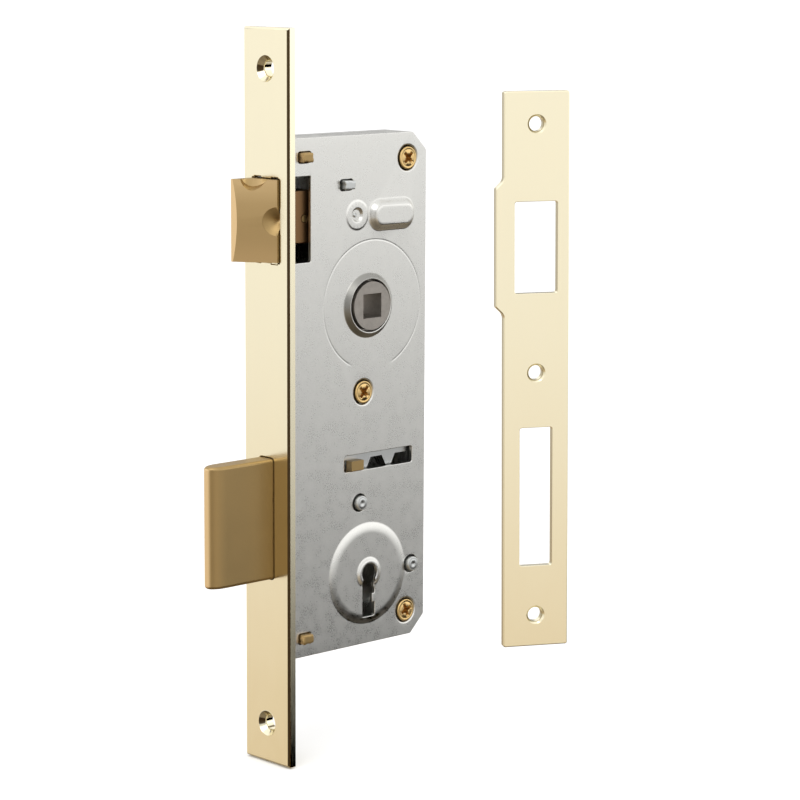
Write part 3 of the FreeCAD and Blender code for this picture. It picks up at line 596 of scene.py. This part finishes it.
def refined(node, body, width=0.2, steps=2, material=None):
    """A CAD node's own shape with its edges rounded."""
    piece = bpy.data.objects.new(f"{node}_finished", frame["nodes"][node].data.copy())
    bpy.context.scene.collection.objects.link(piece)
    soften(piece, width, steps)
    stand_for(piece, node, body, material)
    return piece


# ---- forend and strike plate ---------------------------------------------------------------------

FOREND_CHAMFER = 0.7
SINK_DEPTH = 1.7
HOLE_RADIUS = 2.5
FOREND_SCREWS = (107, -107)


def latch_slot(half, low, high):
    """The latch's slot with two relief notches in each end."""
    notch, inner, outer = 0.4, half * 0.35, half * 0.85
    below = [(-half, low), (-outer, low), (-outer, low - notch), (-inner, low - notch), (-inner, low),
             (inner, low), (inner, low - notch), (outer, low - notch), (outer, low), (half, low)]
    above = [(-u, low + high - v) for u, v in below]
    return rounded(below + above, [0.3] + [0.1] * 8 + [0.3] + [0.3] + [0.1] * 8 + [0.3], 3)


def make_forend():
    low, high = extent("forend_plate")
    half = (high.y - low.y) / 2
    latch_low, latch_high = extent("latch_head")
    bolt_low, bolt_high = extent("deadbolt_head")
    latch_gap, bolt_gap = 0.3, 0.25
    sink = HOLE_RADIUS + SINK_DEPTH
    holes = [latch_slot(latch_high.y + latch_gap, latch_low.z - latch_gap, latch_high.z + latch_gap),
             rounded(box(-bolt_high.y - bolt_gap, bolt_low.z - bolt_gap,
                         bolt_high.y + bolt_gap, bolt_high.z + bolt_gap), 1.4)]
    holes += [ring(0, z, HOLE_RADIUS) for z in FOREND_SCREWS]
    creases = [ring(0, z, sink + step) for z in FOREND_SCREWS for step in (-0.12, 0, 0.12)]

    def lift(u, v):
        from_hole = np.hypot(u, np.abs(v) - FOREND_SCREWS[0])
        return np.clip(from_hole - sink, -SINK_DEPTH, 0) + 0.06 * np.exp(-((from_hole - sink) / 0.1) ** 2)

    forend = plate("forend", rounded(box(-half, low.z, half, high.z), 0.3, 3), holes, high.x - low.x, 0.25,
                   axes((low.x, 0, 0), (0, -1, 0), UP), lift, creases, chamfer=FOREND_CHAMFER)
    # Painted shade: a near-black colour on the chamfer faces that turn towards -X-Y, along the forend's
    # corner on the cover's side.
    edge = (facing((-0.707, -0.707, 0), 0.965, 0.99), (0.10, 0.065, 0.03))
    stand_for(forend, "forend_plate", "case", metal("chamfer_shaded_brass", *SATIN, edge))


STRIKE_CHAMFER = 0.4
STRIKE = {"half": 12, "top": 100, "thick": 3, "corner": 0.8, "lip": 2.9, "lip_high": 66, "lip_low": 23.9,
          "slope": 2.8, "hole": 2.6, "sink": 3.4}


def make_strike():
    s = STRIKE
    middle, out = mount("strike_screws")
    raised, _ = mount("strike_back")
    up = (raised - middle).normalized()
    right = up.cross(out)
    outline = rounded([(-s["half"], -s["top"]), (s["half"], -s["top"]), (s["half"], s["top"]),
                       (-s["half"], s["top"]), (-s["half"], s["lip_high"] + s["slope"]),
                       (-s["half"] - s["lip"], s["lip_high"]), (-s["half"] - s["lip"], s["lip_low"]),
                       (-s["half"], s["lip_low"] - s["slope"])], [s["corner"]] * 4 + [3, 1.2, 1.2, 3])
    screws = (88.5, 0, -88.5)
    holes = [rounded(box(-8, 28.6, 7.7, 61.2), 0.9), rounded(box(-6, -70.3, 6, -19.8), 0.9)]
    holes += [ring(0, z, s["hole"]) for z in screws]
    creases = [ring(0, z, s["sink"] + step) for z in screws for step in (-0.08, 0, 0.08)]

    def lift(u, v):
        from_hole = np.min([np.hypot(u, v - z) for z in screws], axis=0)
        return np.clip(from_hole - s["sink"], s["hole"] - s["sink"], 0)

    strike = plate("strike", outline, holes, s["thick"], 0.2, axes(middle + out * s["thick"], right, up),
                   lift, creases, chamfer=STRIKE_CHAMFER)
    # Painted shade: a darker olive colour on the faces that turn to the strike's left, its thickness seen on
    # that side.
    edge = (facing(-right, 0.6, 0.95), (0.34, 0.28, 0.14))
    stand_for(strike, "strike_plate", "strike", metal("side_shaded_brass", *SATIN, edge))


# ---- case cover ----------------------------------------------------------------------------------

COVER_THICK = 1.2
SPINDLE, _ = mount("spindle")
KEY, _ = mount("keyhole")
PIN = centre("stem_rest_pin")
DIMPLE = (PIN.x + 0.6, PIN.z)
DIMPLE_RADIUS = 2.35
DIMPLE_RIM = 5
KEY_DISC = (35, KEY.z, 17.1)
HUB_HOLE, COLLAR_BASE, COLLAR_TOP, COLLAR_HIGH = 8.72, 10.8, 9.12, 1.5
RING_AT = (37, SPINDLE.z, 21.5)
BOSS = (35.2, 53.2, 55.4, 63.7)
SCREW_HOLE = 4.1
POST_HOLE = 3.05
LUG_HOLE = (2.75, 1.85)
LUG_X, LUG_Z = 7.4, 78.8
GUIDE_X, GUIDE_Z = 25.4, 69
STUMP_WINDOW = (24.6, -25.8, 55.2, -20.3)
LATCH_WINDOW = (0, 45, 10, 72.7)
BOSS_CORNER = 4.6
COVER_FACE = -7
COVER_SCREWS = ("cover_screw_upper", "cover_screw_middle", "cover_screw_lower")


def soft_step(value, low, high):
    share = np.clip((value - low) / (high - low), 0, 1)
    return share * share * (3 - 2 * share)


KEYHOLE_RADIUS, KEYHOLE_HALF, KEYHOLE_LOW = 3.3, 2.7, 14.8


def keyhole_outline():
    """The round top, the slot below it, the ward in its right side and a nick above the ward."""
    left, right, low = KEY.x - KEYHOLE_HALF, KEY.x + KEYHOLE_HALF, KEY.z - KEYHOLE_LOW
    ward_high, ward_low, ward_in = KEY.z - 7.2, KEY.z - 10.2, 1.1
    start = math.atan2(-2.1, 2.6)
    round_top = [(KEY.x + KEYHOLE_RADIUS * math.cos(turn), KEY.z + KEYHOLE_RADIUS * math.sin(turn))
                 for turn in np.linspace(start, math.pi + 0.62, 40)]
    corners = [(left, low), (right, low), (right, ward_low), (right - ward_in, ward_low),
               (right - ward_in, ward_high), (right, ward_high), (right, KEY.z - 5.4),
               (right - 0.35, KEY.z - 5.0), (right - 0.35, KEY.z - 3.6), (right + 0.1, KEY.z - 3.2)]
    radii = [0.5, 0.5, 0.15, 0.12, 0.12, 0.15, 0.1, 0.15, 0.1, 0.1] + [0] * len(round_top)
    return rounded(corners + round_top, radii, 3)


def rectangle_distance(u, v, sides, corner):
    """How far points are outside a rectangle with round corners, below zero inside it."""
    left, low, right, high = sides
    across = np.abs(u - (left + right) / 2) - (right - left) / 2 + corner
    along = np.abs(v - (low + high) / 2) - (high - low) / 2 + corner
    outside = np.hypot(np.maximum(across, 0), np.maximum(along, 0))
    return outside + np.minimum(np.maximum(across, along), 0) - corner


def cover_lift(u, v):
    """The height of the cover's face over its flat sheet."""
    from_spindle = np.hypot(u - SPINDLE.x, v - SPINDLE.z)
    from_key = np.hypot(u - KEY.x, v - KEY.z)
    from_disc = np.hypot(u - KEY_DISC[0], v - KEY_DISC[1])
    from_dimple = np.hypot(u - DIMPLE[0], v - DIMPLE[1])
    bearing = np.degrees(np.arctan2(v - KEY.z, u - KEY.x))
    height = 0.5 * (1 - np.clip(1 - (KEY_DISC[2] - from_disc) / 3.4, 0, 1) ** 2) * (from_disc < KEY_DISC[2])
    open_below = soft_step(np.abs(bearing + 94), 34, 48)
    height += 0.55 * soft_step(5.4 - from_key, 0, 1.3) * open_below
    height += COLLAR_HIGH * np.clip((COLLAR_BASE - from_spindle) / (COLLAR_BASE - COLLAR_TOP), 0, 1)
    from_ring = np.hypot(u - RING_AT[0], v - RING_AT[1]) - RING_AT[2]
    gap = soft_step(np.abs(np.degrees(np.arctan2(v - RING_AT[1], u - RING_AT[0])) + 92), 22, 30)
    height -= 0.07 * np.exp(-(from_ring / 0.22) ** 2) * gap
    height += 1.95 * soft_step(-rectangle_distance(u, v, BOSS, BOSS_CORNER), -0.2, 2.3)
    height += 0.16 * soft_step(DIMPLE_RIM - from_dimple, 0, 0.7)
    height -= 0.75 * soft_step(DIMPLE_RADIUS - from_dimple, -0.1, 0.6)
    for node in COVER_SCREWS:
        spot = centre(node)
        height -= 0.3 * np.exp(-(np.maximum(np.hypot(u - spot.x, v - spot.z) - SCREW_HOLE, 0) / 0.3) ** 2)
    return height


def make_cover():
    low, high = extent("case_cover")
    chamfer = 6
    outline = rounded([(low.x, low.z), (high.x - chamfer, low.z), (high.x, low.z + chamfer),
                       (high.x, high.z - chamfer), (high.x - chamfer, high.z), (low.x, high.z)],
                      [0.3, 1, 1, 1, 1, 0.3])
    holes = [ring(SPINDLE.x, SPINDLE.z, HUB_HOLE, 96), keyhole_outline()]
    creases = []
    for node in COVER_SCREWS:
        spot = centre(node)
        holes.append(ring(spot.x, spot.z, SCREW_HOLE))
        creases += [ring(spot.x, spot.z, SCREW_HOLE + step) for step in (0.45, 0.7)]
    for node in ("guide_post_upper", "guide_post_lower"):
        spot = centre(node)
        holes.append(ring(spot.x, spot.z, POST_HOLE, 48))
    for x, z in ((LUG_X, LUG_Z), (LUG_X, -LUG_Z), (GUIDE_X, GUIDE_Z)):
        holes.append(rounded(box(x - LUG_HOLE[0], z - LUG_HOLE[1], x + LUG_HOLE[0], z + LUG_HOLE[1]), 0.8))
    holes.append(rounded(box(*STUMP_WINDOW), 0.7))
    window = rounded(box(*LATCH_WINDOW), [0, 0.6, 0.6, 0])
    creases += [ring(SPINDLE.x, SPINDLE.z, r, 96)
                for r in (9.0, COLLAR_TOP, 9.3, 9.7, 10.2, 10.65, COLLAR_BASE, 10.95)]
    creases += [ring(RING_AT[0], RING_AT[1], RING_AT[2] + step, 160) for step in (-0.5, -0.2, 0, 0.2, 0.5)]
    creases += [ring(KEY_DISC[0], KEY_DISC[1], KEY_DISC[2] - step, 128)
                for step in (-0.25, 0, 0.4, 0.8, 1.2, 1.6, 2.0, 2.4, 2.8, 3.2, 3.6)]
    creases += [ring(DIMPLE[0], DIMPLE[1], r, 48) for r in (0.8, 1.4, 1.75, 2.0, 2.25, 2.45, 2.7)]
    creases += [ring(DIMPLE[0], DIMPLE[1], r, 64) for r in (4.3, 4.5, 4.7, 5.0, 5.2)]
    creases += [ring(KEY.x, KEY.z, r, 64) for r in (3.8, 4.1, 4.3, 4.5, 4.7, 4.9, 5.1, 5.4, 5.7)]
    left, bottom, right, top = BOSS
    for step in (-0.2, 0.1, 0.4, 0.8, 1.2, 1.6, 2.0, 2.3, 3.0):
        creases.append(rounded(box(left + step, bottom + step, right - step, top - step),
                               BOSS_CORNER - step, 7))
    outline = notched(outline, window)
    cover = plate("cover", outline, holes, COVER_THICK, 0.22,
                  axes((0, COVER_FACE, 0), (1, 0, 0), UP), cover_lift, creases)
    # Painted shade: a dark grey ring on the sloping wall of the hub's collar.
    collar_shade = (ringed(SPINDLE.x, SPINDLE.z, COLLAR_TOP + 0.1, COLLAR_BASE - 0.1), (0.29, 0.285, 0.265))
    stand_for(cover, "case_cover", "case", metal("collar_shaded_zinc", *SHEET, collar_shade))


def notched(outline, window):
    """The cover's outline with the latch window let into its front edge, anticlockwise."""
    front = [p for p in outline if p[0] < 0.5]
    rest = [p for p in outline if p[0] >= 0.5]
    low_front = [p for p in front if p[1] < 0]
    high_front = [p for p in front if p[1] > 0]
    right_side = sorted((p for p in window if p[0] > 0.5), key=lambda p: -p[1])
    left, low, _, high = LATCH_WINDOW
    notch = [(left, high)] + [tuple(p) for p in right_side] + [(left, low)]
    return np.array(rest + high_front + notch + low_front, float)


# ---- latch and deadbolt --------------------------------------------------------------------------

LATCH_TAIL_HALF, LATCH_TAIL_TALL, LATCH_TAIL_RISE = 4.5, 17, 0.6
LATCH_ROOT = 8.2
NOSE_MIDDLE, NOSE_ENDS = 2.9, 0.8
LATCH_DIMPLE = [(0, 0), (7.0, 0), (4.6, 1.0), (3.5, 1.35), (2.4, 1.9), (1.2, 2.7), (0.3, 3.4), (0, 3.45)]
SCALLOP_MIDDLE, SCALLOP_HALF = 5.2, 3.6
# how far into the latch each section of the scallop lies, and how far its rim falls there
SCALLOP_SECTIONS = ((-2.0, 4.4), (0.0, 3.8), (3.0, 2.3), (3.5, -0.4))


def lofted(name, sections, sharp=35):
    """A closed piece through loops of equal length, with flat ends."""
    count = len(sections[0])
    vertices = [point for section in sections for point in section]
    faces = [list(range(count)), list(range(len(vertices) - count, len(vertices)))[::-1]]
    for step in range(len(sections) - 1):
        for i in range(count):
            a, b = step * count + i, step * count + (i + 1) % count
            faces.append([a, b, b + count, a + count])
    return solid(name, vertices, faces, sharp)


def block(name, low, high):
    sections = [[(high[0], low[1], z), (high[0], high[1], z), (low[0], high[1], z), (low[0], low[1], z)]
                for z in (low[2], high[2])]
    return lofted(name, sections)


def drilled(name, at, along, profile, count=48):
    """A turned cutter about any direction. The profile is (radius, distance along it)."""
    piece = revolved(name, (0, 0, 0), profile, count)
    turn = Vector((0, -1, 0)).rotation_difference(Vector(along).normalized()).to_matrix().to_4x4()
    piece.data.transform(Matrix.Translation(Vector(at) * MM) @ turn)
    return piece


def fuse(piece, other):
    joined = piece.modifiers.new("joined", "BOOLEAN")
    joined.object, joined.operation, joined.solver = other, "UNION", "EXACT"
    apply_modifiers(piece)
    bpy.data.objects.remove(other)
    return piece


def join(piece, other):
    """Add another closed mesh to a piece's own."""
    form = bmesh.new()
    form.from_mesh(piece.data)
    form.from_mesh(other.data)
    form.to_mesh(piece.data)
    form.free()
    bpy.data.objects.remove(other)


def make_latch():
    """The bevelled latch, with a nose strip that widens to its middle, a scallop and a half dimple."""
    low, high = extent("latch_head")
    middle = (low.z + high.z) / 2
    half = (high.z - low.z) / 2
    rear = -0.4
    sections = []
    for level in np.linspace(-1, 1, 15):
        strip = NOSE_ENDS + (NOSE_MIDDLE - NOSE_ENDS) * (1 - level * level)
        z = middle + half * level
        root = low.x + LATCH_ROOT
        sections.append([(rear, low.y, z), (root, low.y, z), (low.x, high.y - strip, z),
                         (low.x, high.y, z), (rear, high.y, z)])
    latch = lofted("latch", sections)
    bevel = Vector((-10.7, -8.2, 0)).normalized()
    across = Vector((8.2, -10.7, 0)).normalized()
    nose = Vector((low.x, high.y - NOSE_MIDDLE, 0))
    root = Vector((low.x + LATCH_ROOT, low.y, middle))
    dimple = drilled("dimple", root + bevel, -bevel, LATCH_DIMPLE)
    sweep = np.linspace(0, 1, 29)
    rim = [(-1.25 + 2.6 * t, 0.15 - 1.15 * math.sin(math.pi * t ** 0.8) ** 0.8) for t in sweep]
    scallop = []
    for depth, fall in SCALLOP_SECTIONS:
        spot = nose + across * SCALLOP_MIDDLE - bevel * depth
        edge = [(u, high.z + v * fall) for u, v in rim] + [(1.35, high.z + 3), (-1.25, high.z + 3)]
        scallop.append([tuple(spot + across * (u * SCALLOP_HALF) + UP * level) for u, level in edge])
    carve(latch, dimple, lofted("scallop", scallop))
    soften(latch, 0.4, 6, 32)
    tail_z = middle + LATCH_TAIL_RISE
    tail = block("latch_tail", (rear - 0.2, -LATCH_TAIL_HALF, tail_z - LATCH_TAIL_TALL / 2),
                 (high.x, LATCH_TAIL_HALF, tail_z + LATCH_TAIL_TALL / 2))
    stem_low, _ = extent("latch_stem")
    slot = block("stem_slot", (stem_low.x, -1.5, middle - 2), (high.x + 1, 1.5, middle + 2))
    pin_at = centre("latch_pin")
    hole = drilled("pin_hole", (pin_at.x, 0, pin_at.z), (0, -1, 0), [(0, -6), (1.2, -6), (1.2, 6), (0, 6)])
    soften(carve(tail, slot, hole), 0.4, 3)
    fuse(latch, tail)
    smooth(latch, 22)
    stand_for(latch, "latch_head", "latch")
    # The latch's tail, behind the forend, takes the darker brass: painted shade inside the case.
    latch.data.materials.append(PAINTED_SHADE_BRASS)
    for face in latch.data.polygons:
        face.material_index = int(face.center.x > 0.5 * MM)


BOLT_EDGE = 1.1


def make_deadbolt():
    """The bolt: flat sides, an elliptical nose, soft top and bottom edges and a slot for its plate."""
    low, high = extent("deadbolt_head")
    nose = 6
    turns = np.linspace(math.pi / 2, 3 * math.pi / 2, 41)
    outline = [(low.x + nose + nose * math.cos(turn), high.y * math.sin(turn)) for turn in turns]
    outline = np.array(outline + [(high.x, low.y), (high.x, high.y)])
    turns = np.linspace(0, math.pi / 2, 9)
    rows = []
    for end, sign, order in ((low.z, 1, turns), (high.z, -1, turns[::-1])):
        for turn in order:
            level = end + sign * BOLT_EDGE * (1 - math.cos(turn))
            loop = inset(outline, BOLT_EDGE * (1 - math.sin(turn)))
            rows.append([(u, v, level) for u, v in loop])
    bolt = lofted("deadbolt", rows)
    plate_low, plate_high = extent("deadbolt_tail")
    slot = block("plate_slot", (plate_low.x, plate_low.y, plate_low.z - 0.5),
                 (high.x + 1, plate_high.y, plate_high.z))
    rivet_low, rivet_high = extent("deadbolt_rivets")
    radius = (rivet_high.x - rivet_low.x) / 2
    cutters = [slot]
    for z in (rivet_low.z + radius, rivet_high.z - radius):
        cutters.append(drilled("rivet_hole", ((rivet_low.x + rivet_high.x) / 2, 0, z), (0, -1, 0),
                               [(0, -6), (radius, -6), (radius, 6), (0, 6)]))
    soften(carve(bolt, *cutters), 0.45, 4, 40)
    stand_for(bolt, "deadbolt_head", "deadbolt")


def make_stump():
    refined("bolt_stump", "deadbolt", 0.5, 2, BRONZE)


# ---- hub, screws, posts and lugs -----------------------------------------------------------------

HUB_GROOVE = (8, 9)
HUB_GROOVE_DEEP, HUB_GROOVE_OPEN = 5.9, 7.6


def make_hub():
    """The hub, with a deep groove between its end and the collar of the case on both sides."""
    hub = bpy.data.objects.new("spindle_hub_finished", frame["nodes"]["spindle_hub"].data.copy())
    bpy.context.scene.collection.objects.link(hub)
    cutters = []
    inner, outer = HUB_GROOVE
    for side in (1, -1):
        low, high = side * HUB_GROOVE_DEEP, side * HUB_GROOVE_OPEN
        cutters.append(revolved("groove", (SPINDLE.x, 0, SPINDLE.z), [
            (inner, low), (outer, low), (outer, high), (inner, high), (inner, low)], 96))
    soften(carve(hub, *cutters), 0.22, 3)
    stand_for(hub, "spindle_hub", "hub", SINTER)


CROSS_TURNS = {"cover_screw_upper": 45, "cover_screw_middle": 48, "cover_screw_lower": 22}


def cross(reach, half, turn):
    """The outline of a cross slot whose arms narrow a little outwards."""
    points = []
    for arm in range(4):
        angle = math.radians(turn + 90 * arm)
        along = Vector((math.cos(angle), math.sin(angle)))
        side = Vector((-math.sin(angle), math.cos(angle)))
        inner = half * 1.25
        for u, v in ((inner, -inner), (reach, -half * 0.85), (reach, half * 0.85)):
            points.append(along * u + side * v)
    return points


def make_screws():
    for node, turn in CROSS_TURNS.items():
        low, high = extent(node)
        at = (low + high) / 2
        radius = (high.x - low.x) / 2
        face, seat = -low.y, -high.y
        head = face - 0.8
        screw = revolved(node + "_finished", (at.x, 0, at.z), [
            (0, seat), (1.7, seat), (1.95, seat + 0.3), (1.95, head - 1.75), (radius, head),
            (radius, face - 0.28), (radius - 0.08, face - 0.1), (radius - 0.3, face),
            (radius - 0.75, face + 0.02), (radius - 0.85, face - 0.06), (radius - 0.95, face + 0.02),
            (1.6, face), (0, face)], 96)
        mouth = [(at.x + p.x, -face - 0.3, at.z + p.y) for p in cross(2.3, 0.56, turn)]
        floor = [(at.x + p.x, -face + 2.2, at.z + p.y) for p in cross(1.35, 0.4, turn)]
        carve(screw, lofted("cross", [mouth, floor]))
        screw.data.update()
        smooth(screw, 30)
        stand_for(screw, node, "case")


def make_posts():
    for node in ("guide_post_upper", "guide_post_lower"):
        low, high = extent(node)
        at = (low + high) / 2
        radius = (high.x - low.x) / 2
        end = -low.y
        post = revolved(node + "_finished", (at.x, 0, at.z), [
            (0, -high.y), (radius, -high.y), (radius, end - 0.55), (radius - 0.12, end - 0.25),
            (radius - 0.45, end - 0.04), (radius - 0.8, end - 0.06), (radius - 0.95, end),
            (0.8, end), (0.5, end - 0.12), (0, end - 0.15)], 72)
        stand_for(post, node, "case")


LUG_FURTHEST = 8.5
# Blender's vector noise starts from the clock unless its generator is seeded.
noise.seed_set(7)


def roughened(piece, height, reach, seed):
    """Move the points in front of the cover as a shear or a chisel leaves them."""
    for vertex in piece.data.vertices:
        point = vertex.co / MM
        share = soft_step(abs(point.y) - 7.2, 0, 0.8)
        shift = noise.noise_vector(point / reach + Vector((seed, 0, seed)))
        shift.y = abs(shift.y) * math.copysign(1, point.y) if abs(point.y) < LUG_FURTHEST else 0
        vertex.co += shift * float(share) * height * MM


def make_lugs():
    """The brass lugs of the forend's brackets and the steel lug of the latch's guide."""
    lugs = {"forend_bracket_upper": (BRONZE, 3), "forend_bracket_lower": (BRONZE, 7),
            "latch_guide": (STEEL, 11)}
    for node, (material, seed) in lugs.items():
        piece = bpy.data.objects.new(node + "_finished", frame["nodes"][node].data.copy())
        bpy.context.scene.collection.objects.link(piece)
        soften(piece, 0.35, 2)
        form = bmesh.new()
        form.from_mesh(piece.data)
        bmesh.ops.triangulate(form, faces=form.faces)
        for _ in range(3):
            long_edges = [e for e in form.edges if e.calc_length() > 0.8 * MM
                          and min(abs(v.co.y) for v in e.verts) > 6 * MM]
            bmesh.ops.subdivide_edges(form, edges=long_edges, cuts=1)
            bmesh.ops.triangulate(form, faces=[f for f in form.faces if len(f.verts) > 3])
        form.to_mesh(piece.data)
        form.free()
        roughened(piece, 0.35, 1.1, seed)
        smooth(piece, 30)
        stand_for(piece, node, "case", material)


# ---- springs -------------------------------------------------------------------------------------

def coil(name, start, end, radius, wire, turns, around=12, steps=28):
    """A wire spring between two points with its last turns closed up."""
    start, end = Vector(start), Vector(end)
    line = (end - start).normalized()
    side = line.orthogonal().normalized()
    other = line.cross(side)
    length = (end - start).length
    vertices, faces = [], []
    count = int(turns * steps)
    for i in range(count + 1):
        share = i / count
        angle = 2 * math.pi * turns * share
        closed = 0.75 / turns
        rise = soft_rise(share, closed)
        outward = side * math.cos(angle) + other * math.sin(angle)
        middle = start + line * (wire / 2 + (length - wire) * rise) + outward * radius
        for k in range(around):
            phase = 2 * math.pi * k / around
            point = middle + (outward * math.cos(phase) + line * math.sin(phase)) * wire / 2
            vertices.append(tuple(point))
    for i in range(count):
        for k in range(around):
            a, b = i * around + k, i * around + (k + 1) % around
            faces.append((a, b, b + around, a + around))
    faces.append(tuple(range(around)))
    faces.append(tuple(range(count * around, count * around + around))[::-1])
    return solid(name, vertices, faces)


def soft_rise(share, closed):
    """The height share of a spring's turn: nearly level in the closed turns at its ends."""
    slow = 0.35
    if share < closed:
        return share * slow
    if share > 1 - closed:
        return 1 - (1 - share) * slow
    return closed * slow + (share - closed) / (1 - 2 * closed) * (1 - 2 * closed * slow)


# The share of a round coil's width that the levers' springs keep across the case. They are oval, so that
# each one clears the levers on both sides of its own.
LEVER_SPRING_WIDTH = 0.53


def narrowed(piece, middle, share):
    """Draw a piece in towards a plane across the case."""
    for vertex in piece.data.vertices:
        vertex.co.y = middle * MM + (vertex.co.y - middle * MM) * share


def make_springs():
    springs = {"latch_spring": ("x", 0.9, 6, "latch_slide", 0.37),
               "hub_spring": ("z", 0.8, 7, "hub_turn", 0.7)}
    for number in range(1, 5):
        springs[f"lever_spring_{number}"] = ("z", 0.5, 9, f"lever_{number}_lift", 0.7)
    for node, (way, wire, turns, joint, keep) in springs.items():
        low, high = extent(node)
        middle = (low + high) / 2
        radius = (high.y - low.y) / 2 - wire / 2
        if way == "x":
            start, end = Vector((low.x, middle.y, middle.z)), Vector((high.x, middle.y, middle.z))
        else:
            start, end = Vector((middle.x, middle.y, low.z)), Vector((middle.x, middle.y, high.z))
        spring = coil(node + "_finished", start, end, radius, wire, turns)
        if node.startswith("lever_spring"):
            narrowed(spring, middle.y, LEVER_SPRING_WIDTH)
        stand_for(spring, node, "case")
        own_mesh(spring)


# a thin sheet inside the case's back that closes the view through the latch's window
PANEL_LOW, PANEL_HIGH = (-0.5, 6.66, 44.5), (10.5, 6.94, 73.2)


def make_case():
    case = refined("case_body", "case", 0.3, 3)
    panel = block("window_panel", PANEL_LOW, PANEL_HIGH)
    panel.data.materials.append(PAINTS["zinc_sheet"])
    join(case, panel)


def paint_rest():
    """Every CAD node that stays as it is gets the finish of its slot, but the latch's steel pin takes the
    bronze as painted shade, so that it sinks into the shaded tail of the latch.
    """
    for node, thing in frame["nodes"].items():
        thing.data.materials.clear()
        # Painted shade: the latch's pin takes the bronze instead of its own steel.
        thing.data.materials.append(BRONZE if node == "latch_pin" else PAINTS[SLOTS[node]])


make_forend()
make_strike()
make_cover()
make_case()
make_latch()
make_deadbolt()
make_stump()
make_hub()
make_screws()
make_posts()
make_lugs()
make_springs()
paint_rest()
